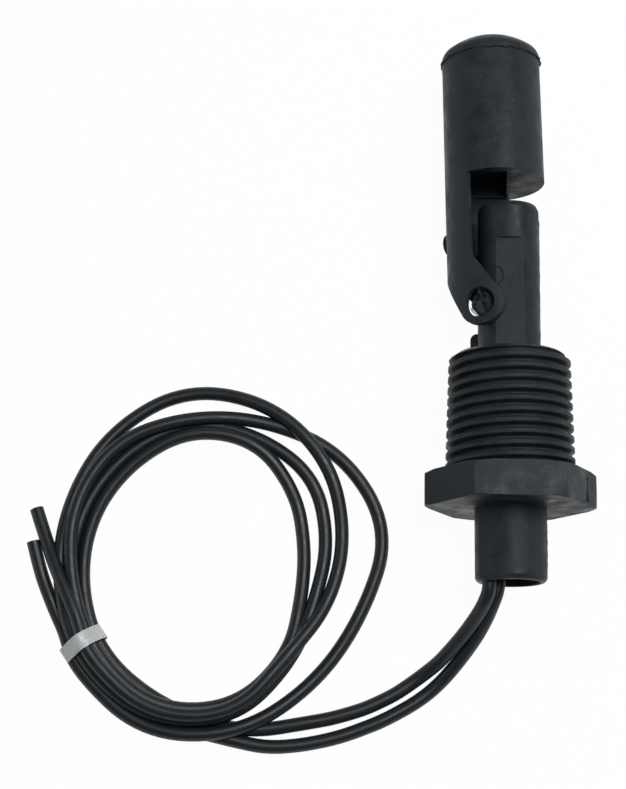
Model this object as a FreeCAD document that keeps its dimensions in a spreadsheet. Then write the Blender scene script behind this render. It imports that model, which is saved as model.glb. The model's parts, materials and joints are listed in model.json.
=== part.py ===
"""Side-mounted float level switch, as a parametric document.

The switch is modelled lying on one flat of its hex flange, as it lies on a table: the axis of the
moulded body runs along +Y towards the tip of the float, and +Z is up. The origin is on that axis, in the
flange's thread-side face. Everything on the body is drawn in the switch's own frame, in which Z is the
axis, X points to the side that the float swings to and Y is the hinge pin's axis. Lengths are in mm.
"""

import FreeCAD, Part

import math
import os
import re

import Sketcher

Vector = FreeCAD.Vector

# Driving dimensions: alias, value, what it is
SIZES = [
    # Pipe thread and flange
    ("thread_pitch", 1.814, "half-inch taper pipe thread, 14 threads to the inch"),
    ("thread_count", 10, "whole crests on the threaded shank"),
    ("thread_crest_radius", 10.65, "crest radius at the flange"),
    ("thread_depth", 1.15, "crest to root"),
    ("thread_taper", 0.03125, "radius lost for each millimetre of length"),
    ("thread_lead_out", 0.75, "plain shank at each end of the thread"),
    ("thread_collar", 0.1, "plain collar at the flange, above the crests"),
    ("flange_flats", 25.0, "hex across flats"),
    ("flange_turned", 27.9, "diameter that the hex corners are turned to"),
    ("flange_thickness", 5.7, "hex flange, face to face"),
    ("flange_bevel", 0.35, "height of the bevel on the hex's thread side"),
    ("flange_bevel_width", 1.2, "width of the bevel on the hex's thread side"),
    # Tail with its potting cup
    ("tail_radius", 5.82, "round tail behind the flange"),
    ("tail_length", 11.75, "tail, from the flange to its open end"),
    ("tail_edge_fillet", 0.8, "rounding of the tail's end"),
    ("cup_wall", 1.22, "wall round the potting cup"),
    ("cup_depth", 7.5, "depth of the potting cup"),
    ("potting_recess", 0.6, "potting below the tail's rim"),
    # Stem
    ("stem_radius", 5.12, "stem that the float hangs on"),
    ("stem_length", 25.46, "stem beyond the thread"),
    ("stem_edge_bevel", 0.45, "bevel round the stem's tip"),
    ("reed_bore_radius", 2.6, "blind bore for the reed switch"),
    ("reed_bore_end_wall", 1.9, "plastic beyond the blind bore"),
    # Hinge
    ("pivot_offset", 1.5, "pin axis, from the stem's axis towards the swing side"),
    ("pivot_height", 7.5, "pin axis, beyond the thread's end"),
    ("ear_hole_radius", 2.35, "hole in each hinge ear"),
    ("pin_clearance", 0.08, "running clearance round each pin"),
    ("pin_recess", 0.45, "pin end below the outside of the ear"),
    ("pin_flute_radius", 0.85, "water flutes along each pin"),
    ("pin_flute_count", 3, "flutes round each pin"),
    ("pin_flute_angle", 60.0, "direction of the first flute, down from the swing side"),
    ("lug_height", 2.3, "stop lug at the foot of the stem"),
    ("lug_reach", 1.25, "how far the stop lug stands out of the stem"),
    ("lug_width", 3.0, "width of the stop lug"),
    ("lug_round", 0.9, "corner cut of the stop lug"),
    # Float
    ("float_radius", 8.33, "outside of the float"),
    ("float_offset", 1.8, "float axis, from the stem's axis, with the float closed"),
    ("float_wall", 1.0, "wall of the arm and of the float chamber"),
    ("float_floor", 1.3, "flat bottom of the float chamber"),
    ("float_gap", 4.7, "stem tip to the flat bottom of the float"),
    ("chamber_length", 21.7, "float body, from its flat bottom to the cap seam"),
    ("arm_flank", 1.1, "arm edge, from the float's axis towards the swing side"),
    ("arm_flank_angle", 54.5, "slope of the arm's flared edge"),
    ("arm_flank_fillet", 3.0, "hollow above the flared edge"),
    ("ear_radius", 3.8, "round end of each hinge ear"),
    ("arm_back_height", 8.6, "lower end of the arm's back, beyond the pin axis"),
    ("float_lean", 1.6, "degrees that the float hangs open as it lies"),
    ("cap_dome_radius", 12.0, "sphere of the welded cap"),
    ("cap_edge", 1.2, "upright edge of the cap above its seam"),
    ("cap_wall", 1.2, "thickness of the cap where the spigot meets it"),
    ("cap_hollow", 1.3, "depth of the cap's hollow beyond the seam"),
    ("spigot_length", 2.2, "how far the cap reaches into the float"),
    ("spigot_wall", 1.2, "wall of the cap's spigot"),
    # Magnet in its pocket
    ("magnet_radius", 1.8, "disc magnet"),
    ("magnet_length", 2.6, "disc magnet"),
    ("magnet_height", 13.4, "magnet axis, beyond the pin axis"),
    ("pocket_wall", 1.0, "wall round and below the magnet"),
    ("closed_gap", 0.35, "magnet pocket to the stem when the float is closed"),
    ("plug_proud", 0.45, "how far the magnet plug stands out of the arm"),
    # Reed switch and its leads
    ("lead_spacing", 2.4, "between the two rows of leads"),
    ("lead_radius", 0.25, "reed leads"),
    ("glass_radius", 1.05, "reed capsule"),
    ("glass_wall", 0.22, "reed capsule"),
    ("glass_length", 12.0, "reed capsule"),
    ("glass_seal", 1.8, "solid glass at each end of the capsule"),
    ("blade_width", 0.9, "flattened reed blades"),
    ("blade_thickness", 0.2, "flattened reed blades"),
    ("blade_overlap", 0.9, "how far the two blades lap"),
    ("blade_gap", 0.06, "contact gap"),
    ("joint_radius", 0.7, "soldered joint sleeve"),
    ("joint_length", 3.0, "soldered joint sleeve"),
    ("sleeve_radius", 1.12, "shrink sleeve over each joint"),
    ("sleeve_length", 7.0, "shrink sleeve over each joint"),
    ("conductor_radius", 0.38, "copper conductor of each wire"),
    ("bond_gap", 0.02, "hairline between bonded pieces"),
    # Wires
    ("wire_radius", 1.05, "insulated wire"),
    ("wire_lift", 0.1, "underside of the wires above the table"),
    ("coil_layers", 2, "layers of wire in the coil"),
    ("tape_length", 2.6, "tape band, along the coil"),
    ("tape_thickness", 0.07, "tape band"),
    ("tape_slack", 0.25, "tape band to the coil, across it"),
]


def make_sheet(doc):
    """The spreadsheet that holds the driving dimensions, one row each."""
    sheet = doc.addObject("Spreadsheet::Sheet", "sizes")
    for row, (alias, value, note) in enumerate(SIZES, start=1):
        sheet.set(f"A{row}", alias)
        sheet.set(f"B{row}", str(value))
        sheet.set(f"C{row}", note)
        sheet.setAlias(f"B{row}", alias)
    doc.recompute()
    return sheet


os.makedirs("parts", exist_ok=True)
document = FreeCAD.newDocument("float_level_switch")
sizes = make_sheet(document)
ALIASES = {alias for alias, _, _ in SIZES}

# Formulas that several pieces share, built from the driving dimensions
SHARED = {
    "shank_length": "(2 * thread_lead_out + thread_count * thread_pitch)",
    "tail_end": "(flange_thickness + tail_length)",
    "hex_corner": "(flange_flats / 2 / cos(30))",
    "pivot_place": "(shank_length + pivot_height)",
    "stem_tip": "(shank_length + stem_length)",
    "float_bottom": "(stem_tip + float_gap)",
    "cap_seam": "(float_bottom + chamber_length)",
    "float_inside": "(float_radius - float_wall)",
    "float_back": "(float_offset + float_radius)",
    "cup_radius": "(tail_radius - cup_wall)",
    "cup_floor": "(tail_end - cup_depth)",
    "potting_face": "(tail_end - potting_recess)",
    "magnet_place": "(pivot_place + magnet_height)",
    "pocket_front": "(stem_radius + closed_gap)",
    "magnet_front": "(pocket_front + pocket_wall)",
    "plug_front": "(magnet_front + magnet_length + bond_gap)",
    "reed_axis": "(lead_spacing / 2)",
    "reed_bore_end": "(stem_tip - reed_bore_end_wall)",
    "lead_turn": "(reed_bore_end - lead_spacing / 2 - 3 * lead_radius)",
    "glass_top": "(lead_turn - lead_spacing)",
    "glass_bottom": "(glass_top - glass_length)",
    "contact_place": "(glass_top - glass_length / 2)",
    "joint_top": "(glass_bottom - 2 * joint_length)",
    "conductor_top": "(joint_top - joint_length / 2)",
}


def formula(text):
    """A formula in plain names, as the document writes it: shared names opened, aliases on the sheet."""

    def swap(match):
        word = match[0]
        if word in SHARED:
            return formula(SHARED[word])
        return f"sizes.{word}" if word in ALIASES else word

    return re.sub(r"[a-z][a-z_]*", swap, text)


def size(text):
    """The value of a formula in plain names."""
    value = sizes.evalExpression(formula(text))
    return float(getattr(value, "Value", value))


def bind(target, name, text):
    """Ties one property of an object to a formula."""
    target.setExpression(name, formula(text))


# The switch's own frame, in which the hinge pin's axis leans 30 degrees from upright
PIN_LEAN = 30.0
LYING = FreeCAD.Placement(
    Vector(0, 0, 0),
    FreeCAD.Rotation(Vector(0, 1, 0), 180 - PIN_LEAN) * FreeCAD.Rotation(Vector(1, 0, 0), -90),
)
HINGE_TURN = FreeCAD.Placement(
    Vector(0, 0, 0),
    FreeCAD.Rotation(Vector(0, 1, 0), size("float_lean")),
    Vector(size("pivot_offset"), 0, size("pivot_place")),
)
HANGING = LYING * HINGE_TURN


def origin_plane(body, role):
    return next(plane for plane in body.Origin.OriginFeatures if plane.Role == role)


def new_sketch(body, name, role, offset="0"):
    """A sketch on one of its own body's origin planes, moved along that plane's normal."""
    sketch = body.newObject("Sketcher::SketchObject", name)
    sketch.AttachmentSupport = [(origin_plane(body, role), "")]
    sketch.MapMode = "FlatFace"
    bind(sketch, "AttachmentOffset.Base.z", offset)
    return sketch


def pin_point(sketch, geometry, end, across, along):
    """Holds one point of a sketch at two formulas, measured from the sketch's origin."""
    for kind, text in (("DistanceX", across), ("DistanceY", along)):
        index = sketch.addConstraint(Sketcher.Constraint(kind, -1, 1, geometry, end, size(text)))
        bind(sketch, f"Constraints[{index}]", text)


def draw_outline(sketch, corners):
    """A closed outline of straight lines through corners, each a pair of formulas."""
    places = [Vector(size(across), size(along), 0) for across, along in corners]
    first = sketch.GeometryCount
    for number, place in enumerate(places):
        sketch.addGeometry(Part.LineSegment(place, places[(number + 1) % len(places)]), False)
    for number, (across, along) in enumerate(corners):
        line = first + number
        following = first + (number + 1) % len(corners)
        sketch.addConstraint(Sketcher.Constraint("Coincident", line, 2, following, 1))
        pin_point(sketch, line, 1, across, along)


def draw_circle(sketch, across, along, radius):
    """A circle whose centre and radius are formulas."""
    centre = Vector(size(across), size(along), 0)
    ring = sketch.addGeometry(Part.Circle(centre, Vector(0, 0, 1), size(radius)), False)
    pin_point(sketch, ring, 3, across, along)
    index = sketch.addConstraint(Sketcher.Constraint("Radius", ring, size(radius)))
    bind(sketch, f"Constraints[{index}]", radius)


def turned(body, kind, name, corners):
    """A Revolution or Groove of an outline in radius and height about the switch's axis."""
    sketch = new_sketch(body, f"{name}_outline", "XZ_Plane")
    draw_outline(sketch, corners)
    feature = body.newObject(f"PartDesign::{kind}", name)
    feature.Profile = sketch
    feature.ReferenceAxis = (sketch, ["V_Axis"])
    feature.Angle = 360
    return feature


def extruded(body, kind, name, sketch, length, midplane=False, reverse=False):
    """A Pad or Pocket of a sketch."""
    feature = body.newObject(f"PartDesign::{kind}", name)
    feature.Profile = sketch
    feature.Midplane = midplane
    feature.Reversed = reverse
    bind(feature, "Length", length)
    return feature


def rounded(body, name, base, radius, wanted):
    """A fillet on the circular edges of a feature that the test wanted picks."""
    document.recompute()
    names = [
        f"Edge{number}"
        for number, edge in enumerate(base.Shape.Edges, start=1)
        if isinstance(edge.Curve, Part.Circle) and wanted(edge.Curve)
    ]
    fillet = body.newObject("PartDesign::Fillet", name)
    fillet.Base = (base, names)
    bind(fillet, "Radius", radius)
    return fillet


def new_body(name):
    body = document.addObject("PartDesign::Body", name)
    body.Label = name
    return body


# Moulded body: tail, hex flange, pipe thread, stem, hinge pins and stop lug in one piece


def thread_corners():
    """The threaded shank's outline from its collar to its end: pointed crests on a taper."""
    corners = []
    for turn in range(int(size("thread_count"))):
        start = f"(thread_lead_out + {turn} * thread_pitch)"
        for height, depth in ((start, "thread_depth"), (f"({start} + thread_pitch / 2)", "0")):
            corners.append((f"thread_crest_radius - {height} * thread_taper - {depth}", height))
    return corners


def make_switch_body():
    body = new_body("switch_body")
    collar = "thread_crest_radius + thread_collar"
    thread_end = "(shank_length - thread_lead_out)"
    end_root = "thread_crest_radius - thread_depth - (shank_length - thread_lead_out) * thread_taper"
    turned(
        body,
        "Revolution",
        "turned_form",
        [
            ("0", "-tail_end"),
            ("tail_radius", "-tail_end"),
            ("tail_radius", "-flange_thickness / 2"),
            (collar, "-flange_thickness / 2"),
            (collar, "thread_lead_out / 2"),
            *thread_corners(),
            (end_root, thread_end),
            (end_root, "shank_length"),
            ("stem_radius", "shank_length"),
            ("stem_radius", "stem_tip - stem_edge_bevel"),
            ("stem_radius - stem_edge_bevel", "stem_tip"),
            ("0", "stem_tip"),
        ],
    )

    flange_sketch = new_sketch(body, "flange_outline", "XY_Plane")
    corner_angles = [math.radians(30 + 60 * number) for number in range(6)]
    draw_outline(
        flange_sketch,
        [
            (f"{math.cos(angle):.9f} * hex_corner", f"{math.sin(angle):.9f} * hex_corner")
            for angle in corner_angles
        ],
    )
    extruded(body, "Pad", "flange", flange_sketch, "flange_thickness", reverse=True)
    outside = "flange_turned"
    turned(
        body,
        "Groove",
        "flange_bevel_cut",
        [
            ("flange_turned / 2 - flange_bevel_width", "0"),
            ("flange_turned / 2", "-flange_bevel"),
            ("flange_turned / 2", "-flange_thickness"),
            (outside, "-flange_thickness"),
            (outside, "0"),
        ],
    )

    pin_sketch = new_sketch(body, "pin_outline", "XZ_Plane")
    draw_circle(pin_sketch, "pivot_offset", "pivot_place", "ear_hole_radius - pin_clearance")
    pin_reach = "float_radius - pin_recess"
    extruded(body, "Pad", "hinge_pins", pin_sketch, f"2 * ({pin_reach})", midplane=True)
    for side, reverse in (("upper", True), ("lower", False)):
        offset = "-(stem_radius + 0.1)" if side == "upper" else "stem_radius + 0.1"
        flute_sketch = new_sketch(body, f"{side}_flute_outline", "XZ_Plane", offset)
        for number in range(int(size("pin_flute_count"))):
            turn = f"(pin_flute_angle + {number} * 360 / pin_flute_count)"
            draw_circle(
                flute_sketch,
                f"pivot_offset + ear_hole_radius * cos({turn})",
                f"pivot_place - ear_hole_radius * sin({turn})",
                "pin_flute_radius",
            )
        extruded(body, "Pocket", f"{side}_flutes", flute_sketch, "float_radius", reverse=not reverse)

    lug_sketch = new_sketch(body, "lug_outline", "XZ_Plane")
    lug_out = "stem_radius + lug_reach"
    draw_outline(
        lug_sketch,
        [
            ("stem_radius - lug_round", "shank_length - thread_pitch / 2"),
            (lug_out, "shank_length - thread_pitch / 2"),
            (lug_out, "shank_length + lug_height - lug_round"),
            (f"{lug_out} - 0.3 * lug_round", "shank_length + lug_height - 0.3 * lug_round"),
            (f"{lug_out} - lug_round", "shank_length + lug_height"),
            ("stem_radius - lug_round", "shank_length + lug_height"),
        ],
    )
    extruded(body, "Pad", "stop_lug", lug_sketch, "lug_width", midplane=True)

    bored = turned(
        body,
        "Groove",
        "reed_bore",
        [
            ("0", "-tail_end"),
            ("cup_radius", "-tail_end"),
            ("cup_radius", "-cup_floor"),
            ("reed_bore_radius", "-cup_floor + cup_radius - reed_bore_radius"),
            ("reed_bore_radius", "reed_bore_end"),
            ("0", "reed_bore_end"),
        ],
    )
    rounded(
        body,
        "tail_end_rounding",
        bored,
        "tail_edge_fillet",
        lambda ring: abs(ring.Radius - size("tail_radius")) < 1e-4
        and abs(ring.Center.z + size("tail_end")) < 1e-4,
    )
    body.Placement = LYING
    return body


# Float: chamber, half-tube arm and two hinge ears in one piece, with a welded cap


def draw_arm_cut(sketch):
    """What the arm loses, seen along the pin axis: everything but the flank, the ears and the back.

    The flank runs straight down from the chamber, hollows out into the flared edge, meets the round ear
    in a tangent, and leaves it in a tangent again up to the lower end of the arm's back.
    """
    pivot = Vector(size("pivot_offset"), size("pivot_place"), 0)
    ear = size("ear_radius")
    flank = size("float_offset + arm_flank")
    slope = math.radians(size("arm_flank_angle"))
    fillet = size("arm_flank_fillet")
    bottom = size("float_bottom")
    back = Vector(size("float_back + float_wall"), size("pivot_place + arm_back_height"), 0)

    outward = Vector(-math.sin(slope), math.cos(slope), 0)
    flare = Vector(math.cos(slope), math.sin(slope), 0)
    ear_start = pivot + outward * ear
    reach = (flank - ear_start.x) / flare.x
    sharp = ear_start + flare * reach
    half_turn = (math.pi / 2 - slope) / 2
    setback = fillet * math.tan(half_turn)
    flare_end = sharp - flare * setback
    flank_end = sharp + Vector(0, setback, 0)
    fillet_centre = flank_end + Vector(-fillet, 0, 0)

    to_back = back - pivot
    swing = math.atan2(to_back.y, to_back.x) - math.acos(ear / to_back.Length)
    ear_end = pivot + Vector(math.cos(swing), math.sin(swing), 0) * ear
    ear_low = pivot + Vector(0, -ear, 0)
    fillet_middle = fillet_centre + (sharp - fillet_centre).normalize() * fillet

    left = "-2 * float_radius"
    right = "float_back + float_wall"
    low = "pivot_place - 2 * ear_radius"
    corners = [
        Vector(size(left), bottom, 0),
        Vector(flank, bottom, 0),
        flank_end,
        flare_end,
        ear_start,
        ear_end,
        back,
        Vector(size(right), size(low), 0),
        Vector(size(left), size(low), 0),
    ]
    pieces = [
        Part.LineSegment(corners[0], corners[1]),
        Part.LineSegment(corners[1], corners[2]),
        Part.Arc(flank_end, fillet_middle, flare_end),
        Part.LineSegment(corners[3], corners[4]),
        Part.Arc(ear_start, ear_low, ear_end),
        Part.LineSegment(corners[5], corners[6]),
        Part.LineSegment(corners[6], corners[7]),
        Part.LineSegment(corners[7], corners[8]),
        Part.LineSegment(corners[8], corners[0]),
    ]
    for piece in pieces:
        sketch.addGeometry(piece, False)
    # An arc is kept counter-clockwise, so each arc's end that meets a line is found by its place
    for number in range(len(pieces)):
        following = (number + 1) % len(pieces)
        meeting = corners[(number + 1) % len(corners)]
        ends = []
        for index in (number, following):
            near = min((1, 2), key=lambda end: (sketch.getPoint(index, end) - meeting).Length)
            ends.append((index, near))
        tangent = (number, following) in ((1, 2), (2, 3), (3, 4), (4, 5))
        kind = "Tangent" if tangent else "Coincident"
        sketch.addConstraint(Sketcher.Constraint(kind, *ends[0], *ends[1]))
    pin_point(sketch, 0, 1, left, "float_bottom")
    pin_point(sketch, 0, 2, "float_offset + arm_flank", "float_bottom")
    sketch.addConstraint(Sketcher.Constraint("Vertical", 1))
    pin_point(sketch, 4, 3, "pivot_offset", "pivot_place")
    pin_point(sketch, 5, 2, right, "pivot_place + arm_back_height")
    pin_point(sketch, 7, 1, right, low)
    pin_point(sketch, 7, 2, left, low)
    for arc, radius in ((2, "arm_flank_fillet"), (4, "ear_radius")):
        index = sketch.addConstraint(Sketcher.Constraint("Radius", arc, size(radius)))
        bind(sketch, f"Constraints[{index}]", radius)
    index = sketch.addConstraint(Sketcher.Constraint("Angle", -1, 1, 3, 2, slope))
    bind(sketch, f"Constraints[{index}]", "arm_flank_angle")


def make_float():
    body = new_body("float")
    start = "(pivot_place - 1.5 * ear_radius)"
    tube_sketch = new_sketch(body, "tube_outline", "XY_Plane", start)
    draw_circle(tube_sketch, "float_offset", "0", "float_radius")
    extruded(body, "Pad", "tube", tube_sketch, f"cap_seam - {start}")
    hollow_sketch = new_sketch(body, "arm_hollow_outline", "XY_Plane", start)
    draw_circle(hollow_sketch, "float_offset", "0", "float_inside")
    extruded(body, "Pocket", "arm_hollow", hollow_sketch, f"float_bottom - {start}", reverse=True)
    chamber_sketch = new_sketch(body, "chamber_outline", "XY_Plane", "cap_seam")
    draw_circle(chamber_sketch, "float_offset", "0", "float_inside")
    extruded(body, "Pocket", "chamber", chamber_sketch, "chamber_length - float_floor")
    cut_sketch = new_sketch(body, "arm_cut_outline", "XZ_Plane")
    draw_arm_cut(cut_sketch)
    extruded(body, "Pocket", "arm_cut", cut_sketch, "4 * float_radius", midplane=True)
    hole_sketch = new_sketch(body, "ear_hole_outline", "XZ_Plane")
    draw_circle(hole_sketch, "pivot_offset", "pivot_place", "ear_hole_radius")
    extruded(body, "Pocket", "ear_holes", hole_sketch, "4 * float_radius", midplane=True)
    boss_sketch = new_sketch(body, "pocket_outline", "YZ_Plane", "pocket_front")
    draw_circle(boss_sketch, "0", "magnet_place", "magnet_radius + pocket_wall")
    boss_length = "float_back - float_wall - pocket_front + 0.1"
    extruded(body, "Pad", "magnet_pocket", boss_sketch, boss_length)
    magnet_sketch = new_sketch(body, "magnet_hole_outline", "YZ_Plane", "magnet_front")
    draw_circle(magnet_sketch, "0", "magnet_place", "magnet_radius + bond_gap")
    extruded(body, "Pocket", "magnet_hole", magnet_sketch, "float_radius", reverse=True)
    body.Placement = HANGING
    return body


def make_float_cap():
    """A shallow dome with a spigot that sits inside the chamber's rim."""
    dome = document.addObject("Part::Sphere", "cap_dome")
    bind(dome, "Radius", "cap_dome_radius")
    drop = "(cap_seam + cap_edge - sqrt(cap_dome_radius ^ 2 - float_radius ^ 2))"
    bind(dome, "Placement.Base.x", "float_offset")
    bind(dome, "Placement.Base.z", drop)

    def drum(name, radius, low, length):
        cylinder = document.addObject("Part::Cylinder", name)
        bind(cylinder, "Radius", radius)
        bind(cylinder, "Height", length)
        bind(cylinder, "Placement.Base.x", "float_offset")
        bind(cylinder, "Placement.Base.z", low)
        return cylinder

    rim = drum("cap_rim", "float_radius", "cap_seam", "cap_dome_radius")
    shell = document.addObject("Part::MultiCommon", "cap_shell")
    shell.Shapes = [dome, rim]
    spigot_radius = "float_inside - bond_gap"
    spigot = drum("cap_spigot", spigot_radius, "cap_seam - spigot_length", "spigot_length + cap_wall")
    joined = document.addObject("Part::MultiFuse", "cap_joined")
    joined.Shapes = [shell, spigot]
    hollow_radius = f"{spigot_radius} - spigot_wall"
    hollow = drum("spigot_hollow", hollow_radius, "cap_seam - spigot_length", "spigot_length + cap_hollow")
    cap = document.addObject("Part::Cut", "float_cap")
    cap.Base = joined
    cap.Tool = hollow
    cap.Placement = HANGING
    return cap


def cross_cylinder(name, radius, front, length):
    """A cylinder along the swing side's direction, at the magnet's height."""
    cylinder = document.addObject("Part::Cylinder", name)
    bind(cylinder, "Radius", radius)
    bind(cylinder, "Height", length)
    height = size("magnet_place")
    placing = FreeCAD.Placement(
        Vector(size(front), 0, height), FreeCAD.Rotation(Vector(0, 1, 0), 90)
    )
    cylinder.Placement = HANGING * placing
    return cylinder


# Reed switch, its leads and joints


def along_stem(kind, name, low, **properties):
    """A primitive on the switch's axis, in the row of leads that its offset picks."""
    row = properties.pop("row", "reed_axis")
    solid = document.addObject(f"Part::{kind}", name)
    for key, text in properties.items():
        bind(solid, key, text)
    bind(solid, "Placement.Base.x", row)
    bind(solid, "Placement.Base.z", low)
    return solid


def cut(name, base, *tools):
    """A boolean cut, placed in the table's frame."""
    tool = tools[0]
    if len(tools) > 1:
        tool = document.addObject("Part::MultiFuse", f"{name}_tools")
        tool.Shapes = list(tools)
    result = document.addObject("Part::Cut", name)
    result.Base = base
    result.Tool = tool
    result.Placement = LYING
    return result


def make_reed_glass():
    outside = along_stem(
        "Cylinder", "glass_outside", "glass_bottom", Radius="glass_radius", Height="glass_length"
    )
    room_length = "glass_length - 2 * glass_seal"
    room = along_stem(
        "Cylinder",
        "glass_room",
        "glass_bottom + glass_seal",
        Radius="glass_radius - glass_wall",
        Height=room_length,
    )
    passage = along_stem(
        "Cylinder",
        "glass_passage",
        "glass_bottom",
        Radius="lead_radius + bond_gap",
        Height="glass_length",
    )
    return cut("reed_glass", outside, room, passage)


def wire_along(points, radius, tightest=0.0):
    """A round wire on straight runs joined by tangent arcs, with the radius of every arc."""
    edges = []
    radii = []
    start = points[0]
    for before, corner, after in zip(points, points[1:], points[2:]):
        back = (before - corner).normalize()
        ahead = (after - corner).normalize()
        turn = math.pi - back.getAngle(ahead)
        shorter = min((before - corner).Length, (after - corner).Length)
        setback = 0.45 * shorter
        arc_radius = setback / math.tan(turn / 2)
        if tightest and arc_radius > tightest:
            arc_radius = tightest
            setback = tightest * math.tan(turn / 2)
        inner = corner + (back + ahead).normalize() * (
            arc_radius / math.cos(turn / 2) - arc_radius
        )
        arc_start = corner + back * setback
        arc_end = corner + ahead * setback
        edges.append(Part.LineSegment(start, arc_start).toShape())
        edges.append(Part.Arc(arc_start, inner, arc_end).toShape())
        radii.append(arc_radius)
        start = arc_end
    edges.append(Part.LineSegment(start, points[-1]).toShape())
    path = Part.Wire(edges)
    direction = points[1] - points[0]
    ring = Part.Wire([Part.Circle(points[0], direction, radius).toShape()])
    solid = path.makePipeShell([ring], True, False)
    expected = math.pi * radius**2 * path.Length
    if abs(solid.Volume / expected - 1) > 0.02:
        raise ValueError(f"a wire has volume {solid.Volume:.3f} where {expected:.3f} is expected")
    return solid, path, radii


def as_piece(name, shape, placement=FreeCAD.Placement()):
    """A sub-part whose shape is set from the sheet's values in this file's own code."""
    piece = document.addObject("Part::Feature", name)
    piece.Label = name
    piece.Shape = shape
    piece.Placement = placement
    return piece


def in_table_frame(across, along, height):
    """A point of the switch's own frame, in the table's frame."""
    return LYING.multVec(Vector(across, along, height))


def make_reed_blades():
    """The long lead turns back at the tip and runs home beside the capsule; the short one goes straight."""
    lead = size("lead_radius")
    row = size("reed_axis")
    contact = size("contact_place")
    half_lap = size("blade_overlap / 2")
    seal = size("glass_seal")
    top = size("glass_top")
    bottom = size("glass_bottom")
    joint = size("joint_top - joint_length / 2")
    turn = size("lead_turn")
    end = size("reed_bore_end") - 2 * lead
    width = size("blade_width")
    thickness = size("blade_thickness")
    gap = size("blade_gap")

    def blade(low, high, side):
        flat = Part.makeBox(thickness, width, high - low)
        flat.translate(Vector(row + (gap / 2 if side > 0 else -gap / 2 - thickness), -width / 2, low))
        flat.Placement = LYING * flat.Placement
        return flat

    front_low = contact - half_lap
    front_flat = blade(front_low, top - seal, 1)
    front_route = [
        in_table_frame(row, 0, top - seal - lead),
        in_table_frame(row, 0, (turn + top) / 2),
        in_table_frame(row, 0, end),
        in_table_frame(-row, 0, end),
        in_table_frame(-row, 0, (turn + top) / 2),
        in_table_frame(-row, 0, joint),
    ]
    front_wire = corner_wire(front_route, lead, size("lead_spacing") * 0.45)
    front = as_piece("reed_blade_front", front_flat.fuse(front_wire).removeSplitter())

    back_flat = blade(bottom + seal, contact + half_lap, -1)
    back_wire = Part.makeCylinder(
        lead, bottom + seal + lead - joint, in_table_frame(row, 0, joint), LYING.Rotation.multVec(Vector(0, 0, 1))
    )
    back = as_piece("reed_blade_back", back_flat.fuse(back_wire).removeSplitter())
    return [front, back]


def corner_wire(points, radius, bend):
    """A lead bent to one radius at each real corner, straight in between."""
    kept = [points[0]]
    for before, corner, after in zip(points, points[1:], points[2:]):
        if (corner - before).getAngle(after - corner) > 1e-6:
            kept.append(corner)
    kept.append(points[-1])
    return wire_along(kept, radius, bend)[0]


def make_joints():
    pieces = []
    for name, row in (("front", "-reed_axis"), ("back", "reed_axis")):
        low = "joint_top - joint_length"
        outside = along_stem(
            "Cylinder", f"{name}_joint_outside", low, row=row, Radius="joint_radius", Height="joint_length"
        )
        bore = along_stem(
            "Cylinder",
            f"{name}_joint_bore",
            low,
            row=row,
            Radius="conductor_radius + bond_gap",
            Height="joint_length",
        )
        pieces.append(cut(f"solder_joint_{name}", outside, bore))
        sleeve_low = "joint_top - joint_length / 2 - sleeve_length / 2"
        cover = along_stem(
            "Cylinder",
            f"{name}_sleeve_outside",
            sleeve_low,
            row=row,
            Radius="sleeve_radius",
            Height="sleeve_length",
        )
        inside = along_stem(
            "Cylinder",
            f"{name}_sleeve_bore",
            sleeve_low,
            row=row,
            Radius="joint_radius + bond_gap",
            Height="sleeve_length",
        )
        pieces.append(cut(f"shrink_sleeve_{name}", cover, inside))
    return pieces


# Where each wire leaves the potting, in the table's frame
EXIT_A = (-3.3, 1.0)
EXIT_B = (-2.5, -1.1)


def make_conductors_and_potting():
    """The copper of each wire, from its soldered joint to the face of the potting, and the potting."""
    copper = size("conductor_radius")
    face = -size("potting_face")
    top = size("conductor_top") - size("bond_gap")
    cup = -size("cup_floor")
    straight_end = cup + size("cup_radius - reed_bore_radius") + 1.5
    past = 1.0
    beyond = Part.makeCylinder(size("tail_radius"), 2 * past, Vector(0, face, 0), Vector(0, -1, 0))
    pieces = []
    holes = []
    for name, row, place in (("a", -1, EXIT_A), ("b", 1, EXIT_B)):
        inner = in_table_frame(row * size("reed_axis"), 0, 0)
        bend = Vector(inner.x, straight_end, inner.z)
        exit_point = Vector(place[0], face, place[1])
        outward = (exit_point - bend).normalize()
        route = [Vector(inner.x, top, inner.z), bend, exit_point + outward * past]
        solid, _, _ = wire_along(route, copper, 4.0)
        pieces.append(as_piece(f"conductor_{name}", solid.cut(beyond)))
        hole, _, _ = wire_along(route, copper + size("bond_gap"), 4.0)
        holes.append(hole)
    potting_radius = size("cup_radius - bond_gap")
    block = Part.makeCylinder(
        potting_radius, size("potting_face - cup_floor - bond_gap"), Vector(0, face, 0), Vector(0, 1, 0)
    )
    for hole in holes:
        block = block.cut(hole)
    pieces.append(as_piece("potting", block))
    return pieces


# Loose wires and their coil. Each wire is laid on the table in the coil's polar frame: it leaves the
# potting, drops to the table, passes under the coil, makes two turns and ends cut off beside it.

TABLE = -12.5
COIL_CENTRE = (-48.75, -13.2)
STATION_STEP = 30.0
FIRST_STATION = -109.2
# Radius of the innermost and outermost strand at each station, clockwise from the first
INNER_STRAND = [24.5, 23.0, 21.6, 21.0, 21.0, 21.8, 20.7, 17.4, 15.6, 15.9, 19.2, 23.5]
OUTER_STRAND = [29.2, 27.6, 25.2, 25.4, 26.9, 28.5, 27.5, 27.5, 28.6, 26.3, 26.1, 27.9]

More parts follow.
